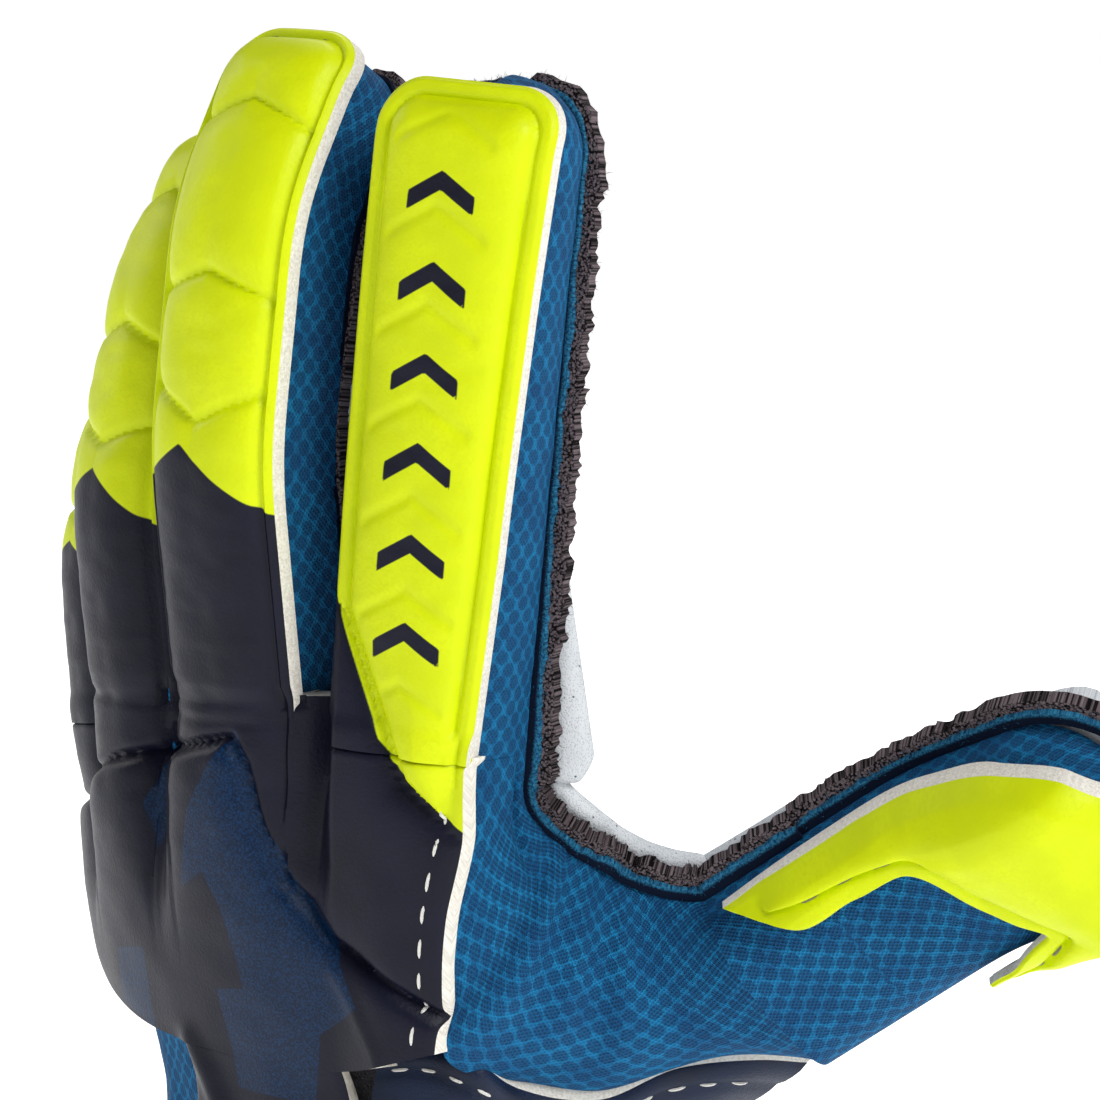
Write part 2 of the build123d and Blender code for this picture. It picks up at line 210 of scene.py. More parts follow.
class Shell:
    """Points and faces of one piece. Each point keeps its place on the fabric (rest), and how far inside the
    second colour (tint) and the print it lies, in millimetres."""

    def __init__(self):
        self.points, self.rest, self.marks, self.quads, self.kinds, self.count = [], [], [], [], [], 0

    def grid(self, points, rest=None, kind=0, marks=None, wrap=False):
        """Adds a grid of points. wrap joins its last column to its first."""
        n, m = points.shape[:2]
        rest = points if rest is None else rest
        marks = np.full((n, m, 2), -9.0) if marks is None else marks
        i, j = np.meshgrid(np.arange(n - 1), np.arange(m if wrap else m - 1), indexing="ij")
        at = lambda a, b: self.count + a * m + b % m
        quads = np.stack([at(i, j), at(i + 1, j), at(i + 1, j + 1), at(i, j + 1)], -1).reshape(-1, 4)
        self.points.append(points.reshape(-1, 3))
        self.rest.append(np.broadcast_to(rest, points.shape).reshape(-1, 3))
        self.marks.append(marks.reshape(-1, 2))
        self.quads.append(quads)
        self.kinds.append(np.full(len(quads), kind))
        self.count += n * m

    def slab(self, top, under, rest=None, kinds=(0, 1, 2), marks=None, ends=(1, 1), sides=(1, 1), wrap=False,
             steps=2):
        """A layer between two grids, closed round its edges. kinds go to its top, edges and underside."""
        rest = top if rest is None else rest
        marks = np.full(top.shape[:2] + (2,), -9.0) if marks is None else marks
        self.grid(top, rest, kinds[0], marks, wrap)
        self.grid(under, rest, kinds[2], marks, wrap)
        picks = [(ends[0], (0, slice(None))), (ends[1], (-1, slice(None)))]
        if not wrap:
            picks += [(sides[0], (slice(None), 0)), (sides[1], (slice(None), -1))]
        for wanted, pick in picks:
            if wanted:
                a, b, r = top[pick], under[pick], rest[pick]
                share = np.linspace(0, 1, steps)[:, None, None]
                drop = np.linalg.norm(a - b, axis=-1)[None, :, None] * share * np.array([0, 0, 1.0])
                self.grid(a[None] * (1 - share) + b[None] * share, r[None] + drop, kinds[1],
                          np.repeat(marks[pick][None], steps, 0), wrap)

    def thread(self, path, radius, sides=5):
        """A rounded thread along a path."""
        t = unit(np.gradient(path, axis=0))
        helper = np.where(np.abs(t[:, 2:3]) < 0.9, np.array([0, 0, 1.0]), np.array([1.0, 0, 0]))
        a = unit(np.cross(t, helper))
        b = np.cross(t, a)
        r = radius * np.sqrt(np.clip(1 - np.linspace(-0.98, 0.98, len(path)) ** 4, 0.04, 1))
        turn = np.linspace(0, 2 * math.pi, sides, endpoint=False)[None, :, None]
        ring = path[:, None] + r[:, None, None] * (np.cos(turn) * a[:, None] + np.sin(turn) * b[:, None])
        self.grid(ring, wrap=True)
        for end in (ring[:1], ring[-1:]):
            self.grid(np.concatenate([end, end.mean(axis=1, keepdims=True) + 0 * end]), wrap=True)

    def stitches(self, path, normals, length, gap, radius):
        """A row of bowed stitches along a path on a surface, with their ends sunk into it."""
        lift, sunk = 0.12, 0.25
        normals = np.broadcast_to(np.asarray(normals, float), path.shape)
        run = run_along(path)
        start = gap / 2
        while start + length < run[-1]:
            t = start + np.linspace(0, 1, 6) * length * RANDOM.uniform(0.9, 1.05)
            on = np.stack([np.interp(t, run, path[:, k]) for k in range(3)], -1)
            up = unit(np.stack([np.interp(t, run, normals[:, k]) for k in range(3)], -1))
            bow = np.sin(np.linspace(0, math.pi, 6))[:, None]
            self.thread(on + up * (lift + 0.3 * bow - sunk), radius)
            start += length + gap

    def fibres(self, roots, normals, length, radius, kind):
        """Loose fibre ends: one thin bent blade at each root."""
        n = len(roots)
        lean = RANDOM.normal(0, 0.6, (n, 3))
        way = unit(normals + lean)
        bent = unit(way + RANDOM.normal(0, 0.5, (n, 3)))
        reach = length * RANDOM.uniform(0.35, 1.0, (n, 1))
        side = unit(np.cross(way, RANDOM.normal(0, 1, (n, 3)))) * radius
        tip = roots + way * reach * 0.6 + bent * reach * 0.5
        mid = roots + way * reach * 0.6
        for k in range(n):
            a, b, c, w = roots[k], mid[k], tip[k], side[k]
            blade = [[a - w, a + w], [b - w * 0.8, b + w * 0.8], [c - w * 0.2, c + w * 0.2]]
            self.grid(np.array(blade), kind=kind)

    def build(self, name, materials, sharp=48, recalc=True):
        """Welds the grids and makes the object."""
        points = np.concatenate(self.points)
        _, first, where = np.unique(np.round(points * 500).astype(np.int64), axis=0, return_index=True,
                                    return_inverse=True)
        where = where.reshape(-1)
        quads, kinds = where[np.concatenate(self.quads)], np.concatenate(self.kinds)
        faces, kept, seen = [], [], set()
        for quad, kind in zip(quads.tolist(), kinds.tolist()):
            face = [v for k, v in enumerate(quad) if v != quad[k - 1]]
            key = frozenset(face)
            if len(face) > 2 and len(key) == len(face) and key not in seen:
                seen.add(key)
                faces.append(face)
                kept.append(kind)
        mesh = bpy.data.meshes.new(name)
        mesh.from_pydata((points[first] * MM).tolist(), [], faces)
        for key, data, width in (("rest", np.concatenate(self.rest)[first], 3),
                                 ("tint", np.concatenate(self.marks)[first, 0], 1),
                                 ("print", np.concatenate(self.marks)[first, 1], 1)):
            made = mesh.attributes.new(key, "FLOAT_VECTOR" if width == 3 else "FLOAT", "POINT")
            made.data.foreach_set("vector" if width == 3 else "value", data.astype(np.float32).ravel())
        for material in materials:
            mesh.materials.append(material)
        mesh.polygons.foreach_set("material_index", np.array(kept, np.int32))
        if recalc:
            bm = bmesh.new()
            bm.from_mesh(mesh)
            bmesh.ops.recalc_face_normals(bm, faces=bm.faces)
            bm.to_mesh(mesh)
            bm.free()
        mesh.polygons.foreach_set("use_smooth", np.ones(len(mesh.polygons), bool))
        mesh.set_sharp_from_angle(angle=math.radians(sharp))
        mesh.update()
        made = bpy.data.objects.new(name, mesh)
        bpy.context.scene.collection.objects.link(made)
        return made


# ---------------------------------------------------------------- materials
class Paint:
    """A procedural material, with short ways to add its nodes. The fabric's own frame is in millimetres."""

    def __init__(self, name, colour, rough, **sockets):
        self.material = bpy.data.materials.new(name)
        self.material.use_nodes = True
        self.tree = self.material.node_tree
        self.shader = next(n for n in self.tree.nodes if n.type == "BSDF_PRINCIPLED")
        self.colour(colour)
        self.rough(rough)
        for key, value in sockets.items():
            self.set(self.shader.inputs[key.replace("_", " ")], value)
        self.rest = self.attribute("rest")

    def set(self, socket, value):
        if isinstance(value, bpy.types.NodeSocket):
            self.tree.links.new(value, socket)
        elif value is not None:
            socket.default_value = value

    def node(self, kind, inputs=(), out=0, **fields):
        made = self.tree.nodes.new(kind)
        for key, value in fields.items():
            setattr(made, key, value)
        for key, value in dict(inputs).items():
            self.set(made.inputs[key], value)
        return made.outputs[out]

    def attribute(self, name, out="Vector"):
        return self.node("ShaderNodeAttribute", attribute_name=name, out=out)

    def math(self, operation, a, b=0.0):
        return self.node("ShaderNodeMath", {0: a, 1: b}, operation=operation)

    def ramp(self, value, low, high):
        """0 at low to 1 at high, smoothly."""
        return self.node("ShaderNodeMapRange", {"Value": value, "From Min": low, "From Max": high},
                         interpolation_type="SMOOTHSTEP")

    def mix(self, share, a, b):
        return self.node("ShaderNodeMix", {0: share, 6: a, 7: b}, out=2, data_type="RGBA")

    def noise(self, scale, detail=2.0, rough=0.5):
        return self.node("ShaderNodeTexNoise", {"Vector": self.rest, "Scale": scale, "Detail": detail,
                                                "Roughness": rough})

    def cells(self, scale, **fields):
        return self.node("ShaderNodeTexVoronoi", {"Vector": self.rest, "Scale": scale}, **fields)

    def dots(self, pitch, rows=1.732):
        """Distance to the nearest point of a staggered lattice, in pitches. rows is its other pitch."""
        best = None
        for shift in (0.0, 0.5):
            scale, offset = (1 / pitch, 1 / pitch / rows, 0), (shift, shift, 0)
            v = self.node("ShaderNodeMapping", {"Vector": self.rest, "Scale": scale, "Location": offset})
            f = self.node("ShaderNodeVectorMath", {0: v}, operation="FRACTION")
            c = self.node("ShaderNodeVectorMath", {0: f, 1: (0.5, 0.5, 0)}, operation="SUBTRACT")
            w = self.node("ShaderNodeVectorMath", {0: c, 1: (1, rows, 0)}, operation="MULTIPLY")
            d = self.node("ShaderNodeVectorMath", {0: w}, operation="LENGTH", out="Value")
            best = d if best is None else self.math("MINIMUM", best, d)
        return best

    def axis(self, k):
        """The fabric's own x, y or z."""
        return self.node("ShaderNodeSeparateXYZ", {0: self.rest}, out=k)

    def colour(self, value):
        self.set(self.shader.inputs["Base Color"], value)

    def rough(self, value):
        self.set(self.shader.inputs["Roughness"], value)

    def bump(self, height, distance, strength=1.0, under=None):
        made = self.node("ShaderNodeBump", {"Height": height, "Strength": strength,
                                            "Distance": distance * MM})
        if under is not None:
            self.set(made.node.inputs["Normal"], under)
        return made

    def finish(self, normal=None):
        if normal is not None:
            self.set(self.shader.inputs["Normal"], normal)
        return self.material


YELLOW = srgb(220, 236, 0)


def foam_skin(name):
    """Smooth coated foam skin: neon yellow, navy where tint is positive, and a dark blue print."""
    p = Paint(name, YELLOW, 0.45, Specular_IOR_Level=0.2)
    broad, fine, pores = p.noise(0.12, 3), p.noise(1.6, 4, 0.6), p.cells(2.6, feature="SMOOTH_F1")
    yellow = p.mix(p.ramp(broad, 0.3, 0.7), srgb(206, 222, 0), srgb(216, 232, 0))
    yellow = p.mix(p.ramp(fine, 0.4, 0.8), yellow, srgb(208, 222, 2))
    navy = p.mix(p.ramp(broad, 0.3, 0.7), srgb(9, 11, 28), srgb(14, 16, 36))
    navy = p.mix(p.ramp(fine, 0.5, 0.85), navy, srgb(20, 22, 42))
    speck = p.mix(p.ramp(p.noise(3.2, 3), 0.4, 0.65), srgb(0, 22, 48), srgb(3, 44, 82))
    navy = p.mix(p.ramp(p.attribute("print", "Fac"), -0.15, 0.15), navy, speck)
    tint = p.ramp(p.attribute("tint", "Fac"), -0.12, 0.12)
    p.colour(p.mix(tint, yellow, navy))
    p.rough(p.math("ADD", p.math("MULTIPLY", fine, 0.18), 0.34))
    grain = p.bump(fine, 0.05, 0.7)
    return p.finish(p.bump(pores, 0.06, 0.5, grain))


def foam_cut(name):
    """The white, crumbly cut edge of the foam."""
    p = Paint(name, srgb(236, 232, 222), 0.85)
    grain, crumbs = p.noise(2.2, 4, 0.7), p.cells(3.5)
    white = p.mix(p.ramp(grain, 0.3, 0.75), srgb(242, 239, 230), srgb(205, 198, 186))
    p.colour(white)
    return p.finish(p.bump(crumbs, 0.12, 0.6, p.bump(grain, 0.15, 0.8)))


def knit_mesh(name):
    """Spacer mesh: round clusters of small holes in a fine knit."""
    light, dark, hole = srgb(17, 118, 170), srgb(9, 66, 114), srgb(5, 30, 64)
    cluster_pitch, hole_pitch, wale_pitch = 3.1, 0.66, 0.33
    p = Paint(name, light, 0.8, Specular_IOR_Level=0.2, Sheen_Weight=0.06, Sheen_Roughness=0.5,
              Sheen_Tint=srgb(60, 150, 200))
    wobble = p.math("MULTIPLY", p.math("SUBTRACT", p.noise(0.9, 2), 0.5), 0.22)
    patch = p.ramp(p.math("ADD", p.dots(cluster_pitch, 1.22), wobble), 0.42, 0.28)
    holes = p.ramp(p.dots(hole_pitch, 1.3), 0.40, 0.15)
    wales = p.math("SINE", p.math("MULTIPLY", p.axis(0), 2 * math.pi / wale_pitch))
    ground = p.mix(p.ramp(p.noise(0.16, 3), 0.35, 0.7), light, srgb(11, 92, 142))
    ground = p.mix(p.math("MULTIPLY", holes, 0.45), ground, dark)
    inside = p.mix(holes, srgb(8, 58, 102), hole)
    inside = p.mix(p.ramp(p.noise(2.5, 2), 0.45, 0.7), inside, dark)
    p.colour(p.mix(p.math("MULTIPLY", patch, 0.72), ground, inside))
    depth = p.math("ADD", p.math("MULTIPLY", patch, -0.5), p.math("MULTIPLY", holes, -0.5))
    return p.finish(p.bump(wales, 0.03, 0.4, p.bump(depth, 0.36, 0.9)))


def plain_cloth(name, colour, other, scale=1.0):
    """A fine pile cloth."""
    p = Paint(name, colour, 0.9, Sheen_Weight=0.3, Sheen_Roughness=0.6, Specular_IOR_Level=0.2)
    loops, fine = p.cells(3.0 * scale), p.noise(1.3 * scale, 5, 0.7)
    p.colour(p.mix(p.ramp(fine, 0.3, 0.7), colour, other))
    return p.finish(p.bump(fine, 0.25, 0.9, p.bump(loops, 0.25, 0.8)))


def fringe_knit(name):
    """The mesh's cut edge outside the seam: painted deep shade at the seam, paler where cut threads stand
    out.
    """
    p = Paint(name, srgb(10, 60, 96), 0.9, Specular_IOR_Level=0.15)
    out = p.axis(1)
    fine = p.noise(2.6, 4, 0.7)
    pale = p.mix(p.ramp(fine, 0.35, 0.65), srgb(8, 52, 88), srgb(52, 132, 170))
    out = p.math("ADD", out, p.math("MULTIPLY", fine, 0.5))
    # painted shade: dark navy within about 1.5 mm of the seam, standing in for the shadow of the mesh's tuck
    # there
    p.colour(p.mix(p.ramp(out, 1.5, 2.2), srgb(5, 18, 40), pale))
    return p.finish(p.bump(fine, 0.3, 0.9))


def terry_loops(name):
    """Brown-grey loops over black gaps."""
    p = Paint(name, srgb(60, 54, 58), 0.95, Specular_IOR_Level=0.1)
    fine, loops = p.noise(2.0, 4, 0.75), p.cells(2.6)
    shade = p.mix(p.ramp(fine, 0.36, 0.54), srgb(16, 13, 16), srgb(122, 110, 114))
    shade = p.mix(p.ramp(loops, 0.4, 0.75), shade, srgb(12, 9, 12))
    p.colour(shade)
    return p.finish(p.bump(fine, 0.5, 0.9, p.bump(loops, 0.4, 0.8)))


def latex_skin(name):
    """Foam latex: pale grey with fine open pores and slightly darker worn patches."""
    p = Paint(name, srgb(206, 210, 214), 0.78, Specular_IOR_Level=0.35)
    broad, fine, pores = p.noise(0.09, 3), p.noise(2.4, 4, 0.7), p.cells(3.4)
    colour = p.mix(p.ramp(broad, 0.35, 0.75), srgb(214, 218, 222), srgb(202, 207, 213))
    colour = p.mix(p.ramp(pores, 0.12, 0.42), srgb(170, 175, 183), colour)
    colour = p.mix(p.ramp(p.cells(0.75), 0.07, 0.17), srgb(92, 95, 104), colour)
    p.colour(colour)
    return p.finish(p.bump(fine, 0.1, 0.8, p.bump(pores, 0.14, 0.7)))


def rib_knit(name):
    """Fine rib knit: vertical wales and small stitches. The fabric's x runs round the wrist, its y up."""
    colour, other = srgb(6, 50, 74), srgb(3, 24, 42)
    rib_pitch, stitch_pitch = 2.6, 0.8
    p = Paint(name, colour, 0.85, Sheen_Weight=0.3, Sheen_Roughness=0.5, Specular_IOR_Level=0.2)
    rib = p.math("SINE", p.math("MULTIPLY", p.axis(0), 2 * math.pi / rib_pitch))
    slant = p.math("ADD", p.axis(1), p.math("MULTIPLY", p.math("ABSOLUTE", rib), 0.35))
    row = p.math("SINE", p.math("MULTIPLY", slant, 2 * math.pi / stitch_pitch))
    share = p.ramp(p.math("ADD", p.math("MULTIPLY", rib, 0.7), p.math("MULTIPLY", row, 0.45)), -0.8, 0.9)
    shade = p.mix(share, other, colour)
    p.colour(p.mix(p.ramp(p.noise(0.2, 3), 0.3, 0.8), shade, srgb(10, 64, 92)))
    return p.finish(p.bump(row, 0.12, 0.6, p.bump(rib, 0.2, 0.7)))


def smooth_leather(name, colour, other):
    """Smooth synthetic leather with a fine grain."""
    p = Paint(name, colour, 0.4, Specular_IOR_Level=0.28)
    broad, grain, fine = p.noise(0.1, 3), p.cells(1.9, feature="DISTANCE_TO_EDGE"), p.noise(2.0, 4)
    p.colour(p.mix(p.ramp(broad, 0.3, 0.7), colour, other))
    p.rough(p.math("ADD", p.math("MULTIPLY", fine, 0.25), 0.28))
    return p.finish(p.bump(p.ramp(grain, 0, 0.12), 0.05, 0.5, p.bump(fine, 0.05, 0.5)))


def hook_tape(name, colour, other, pitch):
    """Hook or loop tape: rows of small tufts."""
    p = Paint(name, colour, 0.7, Sheen_Weight=0.2)
    tuft = p.ramp(p.dots(pitch), 0.42, 0.15)
    p.colour(p.mix(tuft, other, colour))
    return p.finish(p.bump(tuft, 0.35, 0.9, p.bump(p.noise(2.5, 4), 0.1, 0.7)))


def spun_thread(name, colour):
    """Sewing thread."""
    p = Paint(name, colour, 0.55, Sheen_Weight=0.3)
    twist = p.noise(4.0, 2)
    shade = tuple(c * 0.8 for c in colour[:3]) + (1,)
    p.colour(p.mix(p.ramp(twist, 0.3, 0.7), colour, shade))
    return p.finish(p.bump(twist, 0.05, 0.6))


SKIN = foam_skin("coated_foam_skin")
CUT = foam_cut("foam_cut_edge")
BACKING = plain_cloth("foam_backing_cloth", srgb(20, 22, 34), srgb(32, 34, 48))
KNIT = knit_mesh("blue_air_mesh")
FRINGE = fringe_knit("mesh_cut_fringe")
TERRY = terry_loops("dark_terry_edge")
LINING = plain_cloth("lining_cloth", srgb(38, 38, 44), srgb(58, 58, 66), 0.8)
LATEX = latex_skin("grey_foam_latex")
RIB = rib_knit("rib_knit_cuff")
BAND = smooth_leather("navy_band_leather", srgb(8, 28, 58), srgb(5, 18, 42))
BIND = smooth_leather("black_binding", srgb(16, 18, 26), srgb(30, 32, 42))
LOOP = hook_tape("loop_pile", srgb(26, 28, 38), srgb(12, 13, 20), 0.9)
HOOK = hook_tape("hook_tape", srgb(44, 46, 54), srgb(18, 19, 26), 1.3)
WHITE_THREAD = spun_thread("white_thread", srgb(226, 224, 218))
GREY_THREAD = spun_thread("grey_thread", srgb(120, 118, 104))
FOAM_KINDS = [SKIN, CUT, BACKING]


def keep(shell, name, materials, body=None, other=None, start=None, end=None, nodes=(), slot=None, fill=None,
         sharp=48, recalc=True):
    """Builds a piece and hangs it on its body, or leaves it loose with its transform baked in when it is
    given a second body.
    """
    made = shell.build(name, materials, sharp, recalc)
    if other is None:
        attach(made, body)
    else:
        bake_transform(made)
    if nodes:
        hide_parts(*nodes)
    return made


def keep_layer(name, material, top, under, rest=None, wrap=False, **hold):
    """A piece that is one layer of one material, between two grids."""
    shell = Shell()
    shell.slab(top, under, rest, kinds=(0, 0, 0), wrap=wrap)
    keep(shell, name, [material], **hold)


def keep_seam(name, parts, hold):
    """The two strips of a raw seam: cut mesh and dark terry."""
    for key, part in parts:
        slot = "air_mesh" if key.startswith("fringe") else "lining"
        keep(part, f"{name}_{key}", [FRINGE, TERRY], **hold, slot=slot, recalc=False)


def joint_of(digit, i):
    """Bodies and blend points for the digit's joint i."""
    labels = [f"{digit.name}_{label}" for label in (LABELS if len(digit.length) == 3 else ("lower", "tip"))]
    bodies = ["hand", *labels]
    at = digit.joints[i]
    low, high = ((6, 20) if digit.name != "thumb" else (-10, 10)) if i == 0 else (at - 9, at + 9)
    return dict(body=bodies[i], other=bodies[i + 1], start=digit.centre(low), end=digit.centre(high))


# ---------------------------------------------------------------- finger back strips
STRIP_FROM = {"index": 6.0, "middle": 6.0, "ring": 7.0, "little": 7.0}
STRIP_DROOP = {"index": 1.0, "middle": 1.6, "ring": 2.4, "little": 3.2}
STRIP_ROUND = 7.0  # radius of a strip's corners at the fingertip
INDEX_RIGHT = ((-40, 8.6), (-3, 9.6), (35, 12.2), (70, 13.9), (100, 15.4))


def strip_edges(digit, s):
    """Left and right edge of the back strip at s, before its tip is rounded."""
    half = HALF_FOAM + digit.change
    left = np.full(np.shape(s), -half)
    if digit.name == "index":
        return left, np.interp(s, *zip(*INDEX_RIGHT))
    return left, -left


def tip_pull(digit, s, radius):
    """How far the rounded tip pulls each edge in."""
    up = np.clip((s - (digit.total - radius)) / radius, 0, 1)
    return radius * (1 - np.sqrt(np.clip(1 - up * up, 0, 1)))


def edge_distance(digit, x, s):
    """Distance inside the strip's outline, with its rounded tip."""
    radius = STRIP_ROUND
    left, right = strip_edges(digit, s)
    side = np.minimum(x - left, right - x)
    top = digit.total - s
    corner = radius - np.hypot(np.maximum(radius - side, 0), np.maximum(radius - top, 0))
    return np.where((side < radius) & (top < radius), corner, np.minimum(side, top))


CREASES = {  # s of each chevron crease at the strip's centre, and how far its arms fall to the edges
    "index": (),
    "middle": ((46, -5), (67, 4), (88, 4)),
    "ring": ((42, -4), (60, 4), (78, 4)),
    "little": ((36, -3), (52, 3), (66, 3)),
}
# where each strip's navy ends, in its own x and s
NAVY_BELOW = {"middle": ((-15, 37), (-2, 43.5), (15, 34)), "ring": ((-15, 33), (0, 39), (15, 31)),
              "little": ((-15, 28), (0, 33), (15, 27)),
              "index": ((-16, 33), (-12.75, 28), (-3.3, 8), (3, 1.5), (12.75, -5), (20, -9))}


def strip_height(digit, x, s):
    """Foam thickness over a strip."""
    d = edge_distance(digit, x, s)
    name = digit.name
    margin = {"index": 2.6, "middle": 1.6, "ring": 1.4, "little": 1.2}[name]
    h = 3.1 - 0.8 * (1 - smooth(d / 0.9)) ** 2
    inner = d - margin
    if name == "index":
        # the pad's outline: a long panel that ends below in a slanted edge along the colour change
        low, _ = line_distance(x, s, ((-16, 30), (-10.5, 25), (0, 2.5), (8, -4), (20, -10)))
        above = s > np.interp(x, (-16, -10.5, 0, 8, 20), (30, 25, 2.5, -4, -10))
        below = np.where(above, 0, 1 - np.exp(-low / 2.5)) * smooth(d / 3)
        inner = np.where(above, np.minimum(inner, low - 0.8), -low)
    pad = 1 - np.exp(-np.clip(inner, 0, None) / 1.3)
    crown = np.clip(inner, 0, 9) / 9
    lift = {"index": 1.5, "middle": 1.2, "ring": 1.2, "little": 1.1}[name]
    h = h + lift * pad + 1.0 * crown * (2 - crown) * (1 if name == "index" else 1.3)
    h = h - 0.7 * bell((inner - 0.1) / 0.55) * (d > 0.8)
    half = HALF_FOAM + digit.change
    if name == "index":
        h = h + 2.2 * below
        for k in range(7):
            at = 12.5 + 13.2 * k
            far = np.abs(s - at - 4.0 * (1 - np.abs(x) / 7.0)) / 1.08
            fade = smooth((d - margin - 0.8) / 1.5) * smooth((inner - 0.5) / 2)
            h = h - 0.45 * bell(far / 0.75) * fade * smooth((8.4 - np.abs(x)) / 1.5)
    for at, fall in CREASES[name]:
        far = np.abs(s - at + fall * np.abs(x) / half)
        h = h - (0.9 * bell(far / 0.6) + 0.7 * bell(far / 2.6)) * smooth((d - 0.6) / 2)
    # the foam's skin wrinkles a little across the finger
    h = h + 0.10 * value_noise(x / 3.1, s / 1.9, 5) * smooth(inner / 2)
    return h


def strip_marks(digit, x, s):
    """How far inside the navy colour, and inside the print, each point lies."""
    xs, ss = zip(*NAVY_BELOW[digit.name])
    d, _ = line_distance(x, s, NAVY_BELOW[digit.name])
    navy = np.where(s < np.interp(x, xs, ss), d, -d)
    if digit.name == "index":
        # a row of plain chevrons where the real one is lettered
        for k in range(6):
            at = 21.5 + 12.4 * k
            arm = np.abs(s - at - 2.6 + 0.62 * np.abs(x - 0.6))
            mark = np.minimum(1.35 - arm, 5.2 - np.abs(x - 0.6))
            navy = np.maximum(navy, mark)
    return np.stack([navy, np.full(np.shape(x), -9.0)], -1)


def droop_at(digit, x):
    """How far a strip's sides hang to the palm at x across it."""
    return STRIP_DROOP[digit.name] * np.clip(np.abs(x) / (HALF_FOAM + digit.change), 0, 1.3) ** 2.4


def strip_points(digit, x, s):
    """Outer and under face of the strip."""
    base = FOAM_Y + droop_at(digit, x) + 2.2 * smooth((s - digit.total + 12) / 12) ** 2
    return base - strip_height(digit, x, s), base


def even(a, b, step):
    """Even steps from a to b."""
    return np.linspace(a, b, max(3, int(math.ceil((b - a) / step)) + 1))


def back_strip(digit, s0, s1, is_tip):
    """One piece of a finger's padded back strip."""
    s = even(s0, s1, 0.55)
    if is_tip:
        top = s1 - STRIP_ROUND
        turn = np.linspace(0, math.pi / 2, 26)
        s = np.concatenate([even(s0, top, 0.55)[:-1], top + STRIP_ROUND * np.sin(turn)])
    u = np.linspace(-1, 1, 65)
    u = np.sign(u) * (1 - (1 - np.abs(u)) ** 1.15)
    left, right = strip_edges(digit, s)
    pull = tip_pull(digit, s, STRIP_ROUND) if is_tip else 0
    left, right = (left + pull)[:, None], (right - pull)[:, None]
    x = (left + right) / 2 + (right - left) / 2 * u[None]
    ss = np.repeat(s[:, None], len(u), 1)
    outer, under = strip_points(digit, x, ss)
    if s0 <= STRIP_FROM[digit.name]:
        # the lower piece grows out of the hand's panel
        share = 1 - smooth((ss - s0) / 5)
        for _ in range(3):
            at = digit.place(x, ss, outer)
            outer = outer + share * (back_height(at[..., 0], at[..., 2], covered=0) - at[..., 1])
    shell = Shell()
    shell.slab(digit.place(x, ss, outer), digit.place(x, ss, under), np.stack([x, ss, outer], -1), steps=4,
               marks=strip_marks(digit, x, ss), ends=(s0 > STRIP_FROM[digit.name] + 1, 1))
    return shell


PATH_STEP = 0.7


def outline(half, s0, total, radius):
    """A U-shaped path round a digit: x, s and the outward direction at each point."""
    sides = even(s0, total - radius, PATH_STEP)
    turn = np.linspace(0, math.pi / 2, 14)
    x = np.concatenate([np.full(len(sides), -half), -half + radius * (1 - np.cos(turn[1:])),
                        np.linspace(-half + radius, half - radius, 12)[1:-1],
                        half - radius + radius * np.sin(turn), np.full(len(sides) - 1, half)])
    s = np.concatenate([sides, total - radius + radius * np.sin(turn[1:]), np.full(10, total),
                        total - radius + radius * np.cos(turn), sides[::-1][1:]])
    nx = np.concatenate([np.full(len(sides), -1.0), -np.cos(turn[1:]), np.zeros(10), np.sin(turn),
                         np.full(len(sides) - 1, 1.0)])
    ns = np.concatenate([np.zeros(len(sides)), np.sin(turn[1:]), np.ones(10), np.cos(turn),
                         np.zeros(len(sides) - 1)])
    return x, s, nx, ns


def side_path(half, s0, s1, sign):
    """A straight path up one side of a digit."""
    s = even(s0, s1, PATH_STEP)
    return np.full(len(s), sign * half), s, np.full(len(s), float(sign)), np.zeros(len(s))


def digit_paths(digit, s0, s1, is_tip, half):
    """The paths of one finger piece's mesh wall: round a tip, or up both sides."""
    if is_tip:
        return [outline(half, s0, digit.total - 1, 8.6)]
    return [side_path(half, s0, s1, -1), side_path(half, s0, s1, 1)]


def side_bulge(digit, sign, s):
    """How far the mesh bulges from the digit's side."""
    if digit.name == "index":
        return np.where(sign > 0, 1.6 + 0.6 * smooth(s / 60), 0.5)
    return 0.5 + 0.8 * (digit.name == "little") * (sign < 0)


WALL_BACK, WALL_PALM = -8.3, 7.0  # depths of a mesh wall's two long edges


def gusset(shell, digit, path):
    """The mesh wall round a digit, as a thin layer along a path."""
    x, s, nx, ns = (a[:, None] for a in path)
    v = np.linspace(0, 1, 14)[None]
    half = HALF_GUSSET + digit.change
    bulge = side_bulge(digit, nx, s) * np.sin(math.pi * v) ** 0.8
    bulge = bulge + 0.22 * value_noise(s / 5.0 + 7 * nx, v * 3.0, 3) * np.sin(math.pi * v)
    top_x = 0
    if digit.name == "index":
        # the wall leans out to the strip's edge on the thumb side
        edge = strip_edges(digit, s)[1] - 1.3
        top_x = np.where(nx > 0, (edge - half) * nx, 0)
    y = WALL_BACK + (WALL_PALM - WALL_BACK) * v
    offset = bulge + top_x * (1 - v)
    layers = [digit.place(x + nx * (offset - t), s + ns * (offset - t), y) for t in (0, 0.9)]
    run = np.concatenate([[0], np.cumsum(np.hypot(np.diff(path[0]), np.diff(path[1])))])
    run = np.minimum(run, run[-1] - run) if path[1][-1] - path[1][0] < 1 else run
    rest = np.stack([y + 0 * x, path[1][0] + run[:, None] + 0 * y, 0 * x * y], -1)
    shell.slab(layers[0], layers[1], rest, kinds=(0, 0, 0))


def ragged(n, amount, seed):
    """A frayed edge: uneven lengths along a cut."""
    r = np.random.default_rng(seed)
    return amount * (0.6 * r.uniform(-1, 1, n) + np.interp(np.arange(n) / 4, np.arange(n // 4 + 2),
                                                            r.uniform(-1, 1, n // 4 + 2)))


FIBRES_PER_MM = 11
